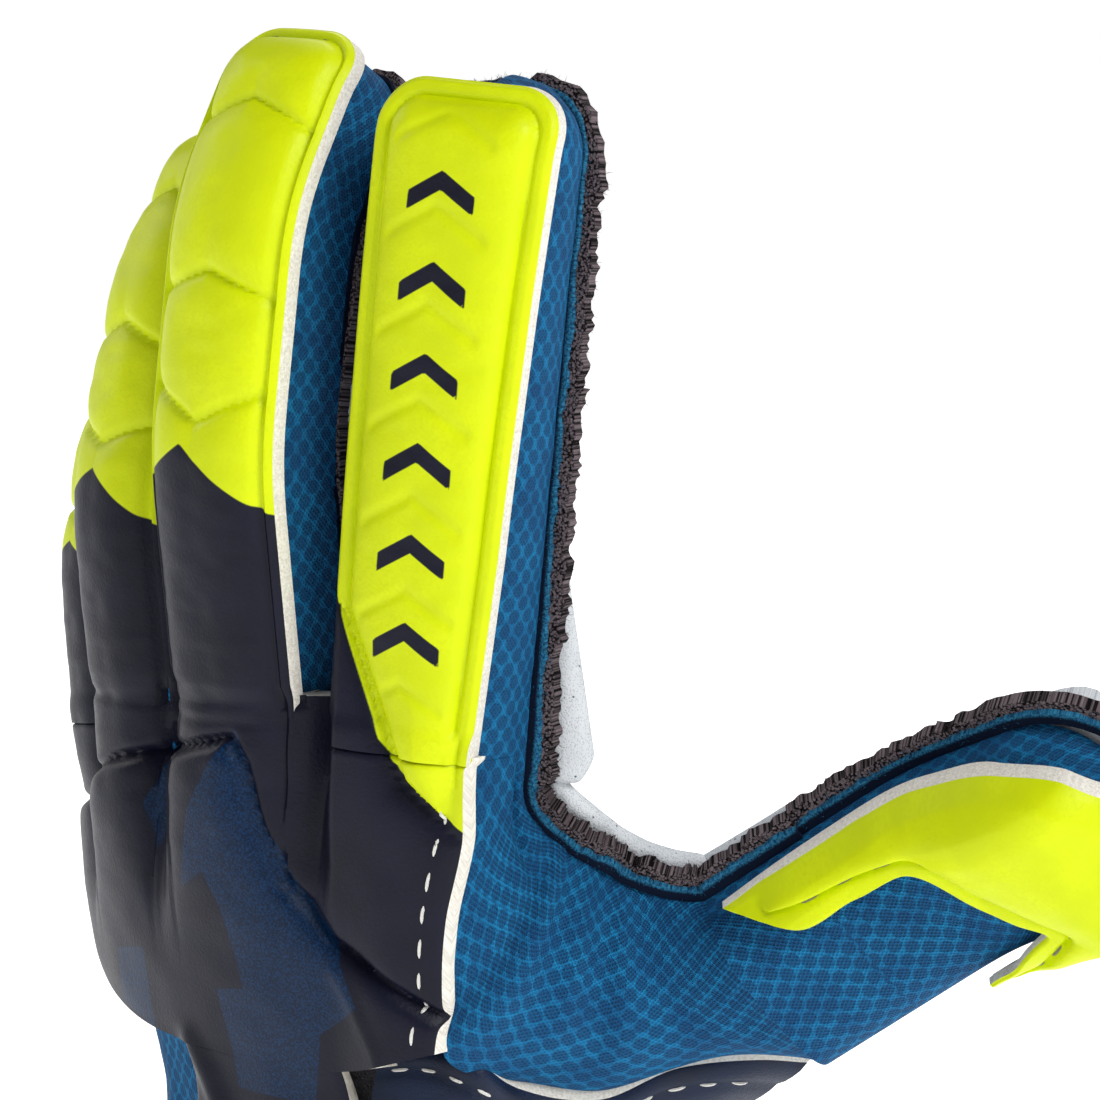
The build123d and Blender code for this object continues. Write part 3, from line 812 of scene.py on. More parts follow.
# each layer's two sides across the seam, its share of the reach, how ragged it is, and its material
SEAM_LAYERS = (("fringe", -0.8, 0.3, 0.56, 0.3, 0), ("terry", 0.3, 2.2, 1.0, 0.6, 1))


def seam_ribbon(base, outward, depth, reach, seed):
    """The raw outside seam along a path: the cut mesh and the dark terry stand out side by side."""
    shells = {}
    n = len(base)
    reach = np.broadcast_to(reach, (n,))
    v = np.linspace(0, 1, 7)[None, :, None]
    run = run_along(base)[:, None, None]
    for key, low, high, length, rag, kind in SEAM_LAYERS:
        shell = shells[key] = Shell()
        edge = (reach * length + ragged(n, rag, seed + kind) * np.clip(reach / 3, 0.3, 1))[:, None, None]
        wave = 0.35 * value_noise(np.arange(n) / 6.0, np.zeros(n), seed)[:, None, None] * v
        swell = (0.28 * np.sin(math.pi * v) + 0.1) * (1 if key == "terry" else 0.3)
        out = base[:, None] + outward[:, None] * edge * v
        top = out + depth[:, None] * (low - swell + wave)
        under = out + depth[:, None] * (high + swell + wave)
        rest = np.concatenate([run + 0 * v, edge * v, 0 * run + 0 * v + kind * 9], -1)
        shell.slab(top, under, rest, kinds=(kind,) * 3)
        if reach.mean() > 2.2:
            count = int(run[-1, 0, 0] * FIBRES_PER_MM)
            i = RANDOM.integers(1, n - 1, count)
            w = RANDOM.uniform(0.1, 1.0, count)[:, None] ** 0.7
            across = RANDOM.uniform(low, high, count)[:, None]
            roots = base[i] + outward[i] * edge[i, 0] * w + depth[i] * across
            way = outward[i] * 1.2 + depth[i] * np.sign(across - 0.5) * 0.5
            shell.fibres(roots, way, 1.4, 0.04, kind)
    return shells


def digit_seam(digit, path, reach_at):
    """The seam's path and directions along a digit's outline."""
    x, s, nx, ns = path
    y = np.full(len(x), LATEX_Y - 1.2)
    base = digit.place(x - nx * 0.3, s - ns * 0.3, y)
    outward = digit.place(x + nx, s + ns, y) - digit.place(x, s, y)
    depth = digit.place(x, s, y + 1) - digit.place(x, s, y)
    if digit.name == "index":
        base = base + outward * (0.5 * (nx > 0.5))[:, None]
    return base, outward, depth, reach_at(nx, s)


def seam_reach(digit):
    """How far the raw seam stands out, by side: less where the next finger is close."""
    name = digit.name

    def reach(nx, s):
        free = (name == "index") * (nx > 0) + (name == "little") * (nx < 0)
        close = 0.9 + 1.2 * smooth((s - 12) / 60) * smooth(np.abs(s - 52) / 30)
        return np.where(free > 0, 3.7 if name == "index" else 3.0, close) * np.ones(len(s))
    return reach


def palm_strip(shell, digit, s0, s1, is_tip, half, radius=8.0):
    """The latex on the palm side of a digit."""
    s = even(s0, s1, 0.9)
    if is_tip:
        s = np.concatenate([even(s0, s1 - radius, 0.9)[:-1],
                            s1 - radius + radius * np.sin(np.linspace(0, math.pi / 2, 14))])
    u = np.linspace(-1, 1, 29)[None]
    pull = tip_pull(digit, s, radius)[:, None] if is_tip else 0
    x = (half - pull) * u + 0 * s[:, None]
    ss = s[:, None] + 0 * x
    side = half - np.abs(x)
    top = (s1 + 0 * ss - ss) if is_tip else np.full(x.shape, 99.0)
    d = np.minimum(side, top)
    rise = 5.0 * np.sqrt(np.clip(1 - (1 - np.clip(d / 5.5, 0, 1)) ** 2.2, 0, 1)) + 0.25
    fold = 0
    for joint in digit.joints[1:-1]:
        fold = fold + 0.9 * bell((ss - joint) / 1.3) + 0.5 * bell((ss - joint + 4) / 1.0)
    rise = rise - fold * smooth(d / 3) + 0.12 * value_noise(x / 4, ss / 4, 8)
    y = LATEX_Y + 0.9 + rise
    under = digit.place(x, ss, np.full(x.shape, LATEX_Y + 0.6))
    shell.slab(digit.place(x, ss, y), under, np.stack([x, ss, y], -1), kinds=(0, 0, 0))


# ---------------------------------------------------------------- surfaces of the hand
def hand_at(z):
    """Hand section values at heights, between the listed sections and eased round them."""
    heights, *values = zip(*HAND)
    ease = np.linspace(-9, 9, 7)
    return [sum(np.interp(z + d, heights, value) for d in ease) / len(ease) for value in values]


def hand_point(z, degrees, offset):
    """Points of the hand's arched section."""
    cx, cy, half_width, half_depth, arch = hand_at(z)
    c, s = np.cos(np.radians(degrees)), np.sin(np.radians(degrees))
    x = np.sign(c) * np.abs(c) ** (2 / SQUARENESS) * (half_width + offset)
    y = np.sign(s) * np.abs(s) ** (2 / SQUARENESS) * (half_depth + offset)
    px = cx + x
    py = cy + arch * ((px - ARCH_X) / half_width) ** 2 + y
    return np.stack([px, py, z + 0 * px], -1)


def hand_side(x, z, sign, offset):
    """Depth of the hand's surface at (x, z): sign -1 for the back and 1 for the palm."""
    cx, cy, half_width, half_depth, arch = hand_at(z)
    share = np.clip(np.abs(x - cx) / (half_width + offset), 0, 0.999)
    bow = (1 - share**SQUARENESS) ** (1 / SQUARENESS)
    return cy + arch * ((x - ARCH_X) / half_width) ** 2 + sign * bow * (half_depth + offset)


def finger_plane(digit, x, z, depth):
    """Depth at (x, z) of a plane of the digit below its knuckle, at a local depth."""
    p = digit.palm0
    return digit.base[1] + (depth - (x - digit.base[0]) * p[0] - (z - digit.base[2]) * p[2]) / p[1]


def local_x(digit, x, y, z):
    return (np.stack([x, y, z + 0 * x], -1) - digit.base) @ digit.across


# lines of the embossed pad on the hand's back, in (x, z)
PAD_TOP = ((-60, 136), (-40, 143.5), (-34, 147.5), (-20, 153.5), (0, 158.5), (11.5, 161.5))
PAD_RIGHT = ((11.5, 161.5), (13.5, 158), (15.5, 149), (18.6, 141), (25.6, 133), (37.3, 126.2), (46, 121))
RIDGE = ((-4, 113.5), (-0.5, 108), (1.6, 104), (3.0, 92), (3.5, 80))
CREASE = ((27, 128.5), (33, 118), (36, 108))


def strip_depth(digit, x, z):
    """Depth at (x, z) of a finger's back strip, carried straight on below its knuckle, and its x and s."""
    y = finger_plane(digit, x, z, FOAM_Y - 4.5)
    point = np.stack([x, y, z + 0 * x], -1) - digit.base
    lx, s = point @ digit.across, point @ digit.along0
    return finger_plane(digit, x, z, FOAM_Y + droop_at(digit, lx) - strip_height(digit, lx, s)), lx, s


def back_height(x, z, covered=1):
    """Depth of the hand's back pad over the (x, z) plane, tucked in where a finger's strip covers it."""
    planes, tuck = [], 0
    for digit in list(DIGITS.values())[:4]:
        y, lx, s = strip_depth(digit, x, z)
        left, right = strip_edges(digit, s)
        out = np.clip(np.maximum(left - lx, lx - right), 0, None)
        out = np.where((digit.name == "index") & (lx > right), 0, out)
        planes.append(y + 0.9 * out**1.4)
        tuck = tuck + 1.5 * covered * smooth((s - STRIP_FROM[digit.name]) / 1.1) * (out < 0.5)
    stack = np.stack(planes)
    low = 0.7 + 1.6 * smooth((164 - z) / 12)
    fingers = -low * np.log(np.exp(-(stack - stack.min(0)) / low).sum(0)) + stack.min(0)
    hand = hand_side(x, z, -1, 5.0)
    share = smooth((158 - z + 0.10 * (x - 5)) / 34) * (1 - 0.62 * smooth((x - 24) / 12))
    y = fingers * (1 - share) + hand * share + tuck
    # the big embossed pad, with grooves along its top and its index side
    top, side_t = line_distance(x, z, PAD_TOP)
    right, side_r = line_distance(x, z, PAD_RIGHT)
    inside = (side_t < 0) & (side_r < 0)
    d = np.minimum(top, right)
    swell = np.where(inside, 1 - np.exp(-d / 1.6), 0)
    beyond = np.where(side_r > 0, 1 - np.exp(-right / 2.2), 0)
    y = y - 2.1 * swell - beyond * smooth((z - 110) / 10) * smooth((150 - z) / 20)
    y = y + 1.2 * bell(np.where(inside, d, np.minimum(top, right)) / 0.8) * smooth((z - 112) / 10)
    ridge, _ = line_distance(x, z, RIDGE)
    y = y - 1.3 * bell(ridge / 2.4) * smooth((122 - z) / 12)
    crease, _ = line_distance(x, z, CREASE)
    y = y - 0.5 * bell(crease / 1.4)
    # folds across the navy strips just above the pad
    for at, tilt in ((163.0, 0.05), (165.3, 0.12)):
        y = y + 0.3 * bell((z - at - tilt * x) / 0.8) * smooth((20 - x) / 8)
    return y + 0.14 * value_noise(x / 6, z / 5, 21)


FACETS = (  # plain angular shapes of the print, in (x, z)
    ((12.6, 163), (16, 149), (21, 139), (27, 131), (30.5, 124), (23, 119), (20.5, 108), (6, 108), (4.5, 123),
     (10.5, 124), (9, 136), (6.5, 141.5), (1, 138), (4.5, 150)),
    ((-22, 124), (-13, 126), (-14, 113), (-24, 115)),
    ((-9, 156), (-5, 157), (-9, 141), (-12, 148)),
)


def inside_distance(x, z, corners):
    """Distance inside a closed polygon, negative outside."""
    best = np.full(np.shape(x), 1e9)
    inside = np.zeros(np.shape(x), bool)
    for (ax, az), (bx, bz) in zip(corners, (*corners[1:], corners[0])):
        d, _ = line_distance(x, z, ((ax, az), (bx, bz)))
        best = np.minimum(best, d)
        crosses = (az > z) != (bz > z)
        inside ^= crosses & (x < ax + (z - az) / np.where(bz == az, 1e-9, bz - az) * (bx - ax))
    return np.where(inside, best, -best)


def back_marks(x, y, z):
    """Navy, and the print, over the hand's back."""
    index = DIGITS["index"]
    s = (np.stack([x, y, z + 0 * x], -1) - index.base) @ index.along0
    lx = local_x(index, x, y, z)
    line = NAVY_BELOW["index"]
    d, _ = line_distance(lx, s, line)
    yellow = (s > np.interp(lx, *zip(*line))) & (lx > -14)
    facets = np.max([inside_distance(x, z, f) for f in FACETS], axis=0)
    return np.stack([np.where(yellow, -d, np.where(lx > -14, d, 9.0)), facets], -1)


def coons(top, right, bottom, left, rows, columns):
    """A grid in a plane between four edge curves. top and bottom run left to right, the others downwards."""
    a, b = np.linspace(0, 1, columns)[None, :, None], np.linspace(0, 1, rows)[:, None, None]
    t, m = curve_through(top, columns)[None], curve_through(bottom, columns)[None]
    l, r = curve_through(left, rows)[:, None], curve_through(right, rows)[:, None]
    corners = (1 - b) * ((1 - a) * t[:, :1] + a * t[:, -1:]) + b * ((1 - a) * m[:, :1] + a * m[:, -1:])
    return (1 - b) * t + b * m + (1 - a) * l + a * r - corners


# ---------------------------------------------------------------- the fingers' pieces
WALL_FROM = 6.0  # below this the index finger's outer wall is part of the web
WALL_FOOT = -3.0  # the other walls and the latex run on below the knuckle to here
for order, (name, digit) in enumerate(list(DIGITS.items())[:4]):
    for i, (s0, s1) in enumerate(digit.spans()):
        label, is_tip = LABELS[i], i == 2
        hold = joint_of(digit, i)
        node = f"{name}_{label}"
        low = STRIP_FROM[name] if s0 is None else s0
        slot = "yellow_foam" if name == "index" or i else "navy_foam"
        keep(back_strip(digit, low, s1, is_tip), f"{node}_back_pad", FOAM_KINDS, **hold,
             nodes=[f"{node}_back_foam"], slot=slot, fill=0.8)
        low = WALL_FOOT if s0 is None else s0
        shell, seams = Shell(), []
        half = HALF_GUSSET + digit.change
        for k, path in enumerate(digit_paths(digit, low, s1, is_tip, half)):
            web_side = name == "index" and s0 is None and k == 1
            if web_side:
                path = side_path(half, WALL_FROM, s1, 1)
            gusset(shell, digit, path)
            if s0 is None and not web_side:
                # between fingers the seam starts a little above the wall's foot
                path = tuple(a[6:] for a in path)
            made = seam_ribbon(*digit_seam(digit, path, seam_reach(digit)), seed=100 * order + 10 * i + k)
            seams += [(f"{key}_{k}", part) for key, part in made.items()]
        keep(shell, f"{node}_mesh_side", [KNIT], **hold, nodes=[f"{node}_mesh_gusset"], slot="air_mesh")
        keep_seam(node, sorted(seams, key=lambda pair: pair[0]), hold)
        shell = Shell()
        palm_strip(shell, digit, low, s1, is_tip, HALF_LATEX + digit.change + 0.4)
        keep(shell, f"{node}_latex_pad", [LATEX], **hold, nodes=[f"{node}_palm_latex"], slot="palm_latex",
             fill=0.7)


# ---------------------------------------------------------------- the hand's back pad and its tongue
INDEX = DIGITS["index"]
STRIP_CORNER = INDEX.place(strip_edges(INDEX, 7.0)[1], 7.0, FOAM_Y - 2.0)[[0, 2]]
BACK_EDGE = (tuple(STRIP_CORNER), (45.4, 150), (43.2, 138), (42.0, 127), (41.2, 118.5))
BACK_TOP = ((-54.5, 148.5), (-48, 153), (-42, 155), (-34, 158), (-30.5, 161), (-27, 161.5), (-19, 163),
            (-9, 165), (-5.5, 167.5), (-2.5, 167.5), (7, 167.2), (16, 167), (20, 168), (23.5, 167.5),
            (28, 163.5), (33, 161.9), (39, 161.0), tuple(STRIP_CORNER))
TONGUE_TOP = ((-5, 113), (10, 112.5), (25, 113.5))
BACK_BOTTOM = ((-44, 121), (-30, 115.5), (-12, 113), *TONGUE_TOP, (41.2, 118.5))
back = coons(BACK_TOP, BACK_EDGE, BACK_BOTTOM, ((-54.5, 148.5), (-52.5, 137), (-44, 121)), 100, 150)
tongue = coons(TONGUE_TOP, ((25, 113.5), (27, 104), (26.5, 84)), ((-4, 83), (10, 81.5), (26.5, 84)),
               ((-5, 113), (-4.5, 100), (-4, 83)), 44, 52)
BACK_THICK = 4.2
shell = Shell()
for patch, ends in ((back, (1, 1)), (tongue, (0, 1))):
    x, z = patch[..., 0], patch[..., 1]
    y = back_height(x, z)
    column = np.arange(x.shape[1])[None] + 0 * x
    edge = column if patch is back else np.minimum(column, x.shape[1] - 1 - column)
    y = y + 0.6 * np.exp(-edge / 1.0)
    top = np.stack([x, y, z], -1)
    gradient = np.stack([np.gradient(y, axis=1) / np.gradient(x, axis=1), 0 * x - 1, 0 * x], -1)
    inward = -unit(gradient)
    under = top + inward * BACK_THICK
    if patch is back:
        # the cut edge on the index side faces out, so that its white foam shows
        slope = smooth((np.arange(x.shape[1]) - x.shape[1] + 9) / 8)[None, :, None]
        under = under * (1 - slope) + (top + INDEX.palm0 * 2.35 + INDEX.across * 0.8) * slope
        panel_edge = under[:, -1] - INDEX.across * 0.9 - INDEX.palm0 * 0.3
    shell.slab(top, under, top, marks=back_marks(x, y, z), ends=ends, steps=4)
keep(shell, "hand_back_pad", FOAM_KINDS, body="hand", nodes=["hand_back_foam", "wrist_back_tongue"],
     slot="navy_foam", fill=0.8, sharp=55)


# ---------------------------------------------------------------- mesh between the index finger and the thumb
THUMB_DIGIT = DIGITS["thumb"]
THUMB_MIDDLE = 17  # the s at which the thumb's lower pieces end and its tip pieces begin
THUMB_HALF, THUMB_SEAM_Y, THUMB_RISE = 15.3, 6.0, 15.4  # its mesh's half width, seam depth and height


def thumb_section(s, v):
    """Points of the thumb's mesh section: v runs from the lower seam over the back to the upper seam."""
    turn = math.pi * v
    x = THUMB_HALF * np.sign(np.cos(turn)) * np.abs(np.cos(turn)) ** 0.62
    y = THUMB_SEAM_Y - THUMB_RISE * np.abs(np.sin(turn)) ** 0.7
    s, x, y = np.broadcast_arrays(s, x, y)
    return THUMB_DIGIT.place(x, s, y), x, y


def index_wall(s, v):
    """The index finger's outer mesh wall: v runs from the back strip to the palm seam."""
    half = HALF_GUSSET + INDEX.change
    s, v = np.broadcast_arrays(s, v)
    offset = side_bulge(INDEX, 1, s) * np.sin(math.pi * v) ** 0.8
    offset = offset + (strip_edges(INDEX, s)[1] - 1.3 - half) * (1 - v)
    return INDEX.place(half + offset, s, WALL_BACK + (WALL_PALM - WALL_BACK) * v)


# points that the web's seam, and its edge along the wrist's side band, run through
SEAM_POINTS = [(44.0, 8.2, 147.4), (48.2, 15.0, 141.8), (53, 20.0, 138.8)]
BAND_POINTS = [(41.2, 5.5, 110.4), (45, 15, 108.4), (52, 24, 112.8), (61, 32, 114.2)]


def web_curves(rows):
    """The mesh panel's two long edges, from the index finger to the thumb's root."""
    seam_end = THUMB_DIGIT.place(-THUMB_HALF, 0.0, THUMB_SEAM_Y)
    edge_end = THUMB_DIGIT.place(THUMB_HALF, 0.0, THUMB_SEAM_Y)
    start = index_wall(np.array([WALL_FROM, 0.0]), 1.0)
    seam = curve_through([*start, *SEAM_POINTS, seam_end], rows)
    panel = panel_edge[12::12]
    edge = curve_through([index_wall(np.array(WALL_FROM), 0.0), *panel, *BAND_POINTS, edge_end], rows)
    return edge, seam


def web_points(t, v, edge, seam):
    """The panel between its edges: bulged, folded, and merged into the finger's wall and the thumb."""
    a, b = edge[:, None], seam[:, None]
    flat = a * (1 - v) + b * v
    way = unit(INDEX.across * (1 - t) - THUMB_DIGIT.palm0 * (0.25 + t) + np.array([0.15, -0.2, 0]))
    bulge = (1.6 + 7.0 * smooth(t / 0.75)) * (4 * v * (1 - v)) ** 0.8
    web = flat + way * bulge
    wall = index_wall(WALL_FROM - 40 * t[..., 0], v[..., 0])
    near = 1 - smooth(t / 0.16)
    web = web * (1 - near) + wall * near
    s = -13 * (1 - smooth(t)) * (1 - t)
    tube, _, _ = thumb_section((s + 0 * v)[..., 0], v[..., 0])
    share = smooth((t - 0.66) / 0.34)
    points = web * (1 - share) + tube * share
    # soft folds that fan out from the web
    fan = np.sin(2 * math.pi * (t * 7.5 + 0.35 * v + 0.12 * value_noise(t * 6, v * 2, 4)))
    depth = 0.9 * smooth((t - 0.14) / 0.25) * smooth((0.97 - t) / 0.3) * smooth(v / 0.35) * (0.35 + 0.65 * v)
    crease = -1.5 * bell((v - 0.7 - 0.1 * t) / 0.05) * smooth((0.42 - t) / 0.2) * smooth(t / 0.1)
    return points + way * (fan * depth * np.sin(math.pi * v) ** 0.6 + crease)


def palmward(path, outward):
    """The directions to the palm, square to a path and to its outward directions."""
    depth = unit(np.cross(unit(np.gradient(path, axis=0)), outward))
    return depth * np.sign((depth * (INDEX.palm0 + THUMB_DIGIT.palm0)).sum(1, keepdims=True))


rows, columns = 150, 70
edge, seam = web_curves(rows)
t, v = np.linspace(0, 1, rows)[:, None, None], np.linspace(0, 1, columns)[None, :, None]
web = web_points(t, v, edge, seam)
tube, _, _ = thumb_section(even(0, THUMB_MIDDLE, 0.8)[1:, None], v[..., 0])
web = np.concatenate([web, tube])


web_normals = normals_of(web)
web_normals = web_normals * np.sign(web_normals[rows // 2, columns // 2] @ np.array([0.7, -0.7, 0.1]))
web_rest = fabric_rest(web) * np.array([1, -1, 1]) + np.array([-0.65, WALL_FROM, 0])
thumb_hold = joint_of(THUMB_DIGIT, 0)
WEB_NODES = ["radial_mesh_gusset", "thumb_mesh_gusset", "thumb_lower_mesh_gusset", "thumb_lower_back_mesh"]
keep_layer("thumb_web_mesh", KNIT, web, web - web_normals, web_rest, **thumb_hold, nodes=WEB_NODES,
           slot="air_mesh")


web_seam = web[:, -1]
t = np.linspace(0, 1, len(web_seam))[:, None]
share = smooth((t - 0.05) / 0.55)
outward = unit(INDEX.across * (1 - share) - THUMB_DIGIT.across * share)
along = unit(np.gradient(web_seam, axis=0))
outward = unit(outward - along * (outward * along).sum(1, keepdims=True))
depth = palmward(web_seam, outward)
seam_base = web_seam - depth * 1.7 + outward * 0.1
keep_seam("web_seam", seam_ribbon(seam_base, outward, depth, 3.9, seed=901).items(), thumb_hold)

# the palm's latex shows behind the raw seam, widest beside the index finger's root
EDGE_TOP = 34  # how far up the index finger it shows
s = even(EDGE_TOP, WALL_FROM, 0.9)[:-1]
path = np.concatenate([index_wall(s, 1.0), web_seam])
outward = np.concatenate([INDEX.across + 0 * s[:, None], outward])
depth = palmward(path, outward)
reach = np.concatenate([2.5 + 7 * smooth((EDGE_TOP - s) / 28)[:, None],
                        5.2 + 4.3 * (1 - smooth(t / 0.2)) - 1.3 * smooth((t - 0.7) / 0.3)])[..., None]
turn = np.linspace(0, math.pi, 15)[None, :, None]
rumple = 0.3 * value_noise(np.arange(len(path)) / 13, np.zeros(len(path)), 77)[:, None, None]
flange, lining = [path[:, None] + outward[:, None] * ((reach - thin) * np.sin(turn) ** 0.8 - 1.0)
                  + depth[:, None] * (3.1 + (thin - 2.3) * np.cos(turn) + rumple) for thin in (0, 0.8)]
for name, part, hold in (("index", slice(0, len(s) + 1), joint_of(INDEX, 0)),
                         ("web", slice(len(s), None), thumb_hold)):
    keep_layer(f"{name}_latex_edge", LATEX, flange[part], lining[part], **hold, slot="palm_latex")

# ---------------------------------------------------------------- thumb: mesh, padded cap, latex
tip_hold = joint_of(THUMB_DIGIT, 1)
s = even(THUMB_MIDDLE, THUMB_DIGIT.total - 5, 0.9)
turn = np.linspace(0, 0.48 * math.pi, 12)[1:]
close = np.concatenate([0 * s + 1, np.cos(turn) ** 0.8])[:, None]
s = np.concatenate([s, s[-1] + 4.2 * np.sin(turn)])[:, None]
_, tx, ty = thumb_section(s, np.linspace(0, 1, 60)[None])
shrink = tip_pull(THUMB_DIGIT, s + 2, 14.0)
closed_y = THUMB_SEAM_Y + (ty * (1 - shrink / 40) - THUMB_SEAM_Y) * close
tube = THUMB_DIGIT.place(tx * (1 - shrink / 16) * close, s + 0 * tx, closed_y)
normal = normals_of(tube)
inside = tube - 0.9 * np.sign(normal[5, 30] @ -THUMB_DIGIT.palm0) * normal
keep_layer("thumb_tip_mesh", KNIT, tube, inside, fabric_rest(tube) + np.array([0, 100.0, 0]), **tip_hold,
           nodes=["thumb_tip_mesh_gusset"], slot="air_mesh")

# the cap's inner and outer edges, in the thumb's own x and s
CAP_INNER = [(-14.6, 9.5), (-12.1, 11.5), (-10.8, 22), (-9.2, 32.5), (-2.5, 37.6), (4, 42.6), (8.2, 45.6),
             (9.0, 43.5), (10.6, 39.5), (12.4, 35), (12.6, 31), (12.9, 28.5)]
CAP_OUTER = [(-19.0, 3.5), (-19.4, 12), (-19.6, 24), (-19.4, 40), (-18.2, 52), (-13.5, 62), (-5, 66.6),
             (4, 66.6), (12.5, 62), (17.2, 52), (18.6, 42), (19.0, 34), (18.6, 27)]
CAP_SEAM = 3.6  # how far its stitches lie from the inner edge


def cap_base(x, s):
    """Depth of the cap's underside: it wraps down the thumb's sides and tip."""
    wrap = 8.0 * np.clip((np.abs(x) - 9) / 10, 0, 1.3) ** 2
    end = 5.0 * np.clip((s - 52) / 14, 0, 1.2) ** 2
    return -9.9 + wrap + end


def cap_point(x, s, y):
    """Places a cap point; x past the thumb's side counts as wrapped down it."""
    side = np.sign(x) * np.minimum(np.abs(x), 13 + (np.abs(x) - 13) * 0.62)
    return THUMB_DIGIT.place(side, s, y)


rows, columns = 170, 44
inner, outer = curve_through(CAP_INNER, rows), curve_through(CAP_OUTER, rows)
w = np.linspace(0, 1, columns)[None, :, None]
flat = inner[:, None] * (1 - w) + outer[:, None] * w
x, s = flat[..., 0], flat[..., 1]
width = np.linalg.norm(outer - inner, axis=1)[:, None]
d_in, d_out = w[..., 0] * width, (1 - w[..., 0]) * width
row_at = run_along((inner + outer) / 2)[:, None]
d_end = np.minimum(row_at, row_at[-1] - row_at) + 0 * d_in
d = np.minimum(np.minimum(d_in, d_out), d_end)
line = np.minimum(d_in - CAP_SEAM, d_end - 3.2)
pad = (1 - np.exp(-np.clip(line, 0, None) / 1.4)) * smooth(d_out / 3)
h = 2.6 - 0.7 * (1 - smooth(d / 0.8)) ** 2 + 2.0 * pad + 0.9 * smooth(line / 9)
h = h - 0.75 * bell(line / 0.55) * smooth(d_out / 2)
h = h + 0.12 * value_noise(x / 3.3, s / 3.3, 31) + 0.35 * value_noise(x / 8, s / 7, 32) * smooth(line / 4)
base = cap_base(x, s)
top = cap_point(x, s, base - h)
shell = Shell()
shell.slab(top, cap_point(x, s, base), np.stack([x, s + 200, -h], -1), steps=4)
keep(shell, "thumb_cap_pad", FOAM_KINDS, **tip_hold, nodes=["thumb_tip_back_foam", "thumb_lower_foam_arm"],
     slot="yellow_foam", fill=0.85, sharp=55)

shell = Shell()
across = np.clip(CAP_SEAM / width[:, 0], 0, 0.9) * (columns - 1)
low = np.floor(across).astype(int)
part = (across - low)[:, None]
row = np.arange(rows)
sewn = top[row, low] * (1 - part) + top[row, np.minimum(low + 1, columns - 1)] * part
shell.stitches(sewn[14:-12], -THUMB_DIGIT.palm0, length=3.6, gap=2.2, radius=0.26)
keep(shell, "thumb_cap_stitches", [GREY_THREAD], **tip_hold, slot="yellow_foam")


def thumb_reach(nx, s):
    """How far the thumb's raw seam stands out: less on its outer side."""
    return np.where(nx < 0.2, 3.6, 2.4) * np.ones(len(s))


THUMB_ROUND = 13.0  # radius of the thumb's tip
for label, s0, s1, hold in (("lower", -6, THUMB_MIDDLE, thumb_hold),
                            ("tip", THUMB_MIDDLE, THUMB_DIGIT.total, tip_hold)):
    shell = Shell()
    palm_strip(shell, THUMB_DIGIT, s0, s1, label == "tip", 15.9, THUMB_ROUND)
    keep(shell, f"thumb_{label}_latex_pad", [LATEX], **hold, nodes=[f"thumb_{label}_palm_latex"],
         slot="palm_latex", fill=0.7)
seam_line = digit_seam(THUMB_DIGIT, outline(15.6, THUMB_MIDDLE, THUMB_DIGIT.total, THUMB_ROUND), thumb_reach)
keep_seam("thumb_tip_seam", seam_ribbon(*seam_line, seed=700).items(), tip_hold)


# ---------------------------------------------------------------- palm latex, ulnar side, lining
def palm_height(x, z):
    """Depth of the palm's latex over the (x, z) plane."""
    hand = hand_side(x, z, 1, 5.2)
    thumb = finger_plane(THUMB_DIGIT, x, z, 12.0)
    blend = 3.5
    stack = [hand, np.minimum(thumb, hand + 34)]
    for digit in list(DIGITS.values())[:4]:
        y = finger_plane(digit, x, z, LATEX_Y + 5.4)
        lx = local_x(digit, x, y, z)
        out = np.clip(np.abs(lx) - HALF_LATEX - digit.change + 1.5, 0, None)
        stack.append(y - 0.35 * out**1.6 - 60 * smooth((digit.base[2] - 2 - z) / 30))
    stack = np.stack(stack)
    y = blend * np.log(np.exp((stack - stack.max(0)) / blend).sum(0)) + stack.max(0)
    line, _ = line_distance(x, z, ((40, 150), (22, 138), (12, 120), (14, 100), (18, 88)))
    heart, _ = line_distance(x, z, ((-52, 146), (-20, 148), (10, 152), (38, 156)))
    y = y - 0.8 * bell(line / 1.6) - 0.8 * bell(heart / 1.6)
    return y + 0.25 * value_noise(x / 7, z / 7, 41)


thumb_foot = [tuple(THUMB_DIGIT.place(px, -3.0, 7.0)[[0, 2]]) for px in (-15.5, 0.0, 15.5)]
PALM_TOP = ((-51, 145), (-42, 148), (-32, 151), (-19, 155), (-6, 158), (7, 160), (20, 158.5), (32, 156),
            (42.5, 155))
PALM_RIGHT = ((42.5, 155), (45.5, 147), (51, 140.5), *thumb_foot, (50, 103), (36, 90))
PALM_BOTTOM = ((-28, 87), (-10, 86.5), (10, 86.5), (36, 90))
palm = coons(PALM_TOP, PALM_RIGHT, PALM_BOTTOM, ((-51, 145), (-47, 132), (-37, 112), (-28, 87)), 90, 100)
x, z = palm[..., 0], palm[..., 1]
y = palm_height(x, z)
n = x.shape[1]
edge_in = np.minimum(np.arange(n), n - 1 - np.arange(n))[None] * np.ones(x.shape)
y = y - 3.4 * np.exp(-edge_in / 1.6)
top = np.stack([x, y, z], -1)
normal = normals_of(top)
normal = normal * np.sign(normal[45, 50, 1])
keep_layer("hand_palm_pad", LATEX, top, top - normal * 4.0, top, body="hand", nodes=["hand_palm_latex"],
           slot="palm_latex", fill=0.7)

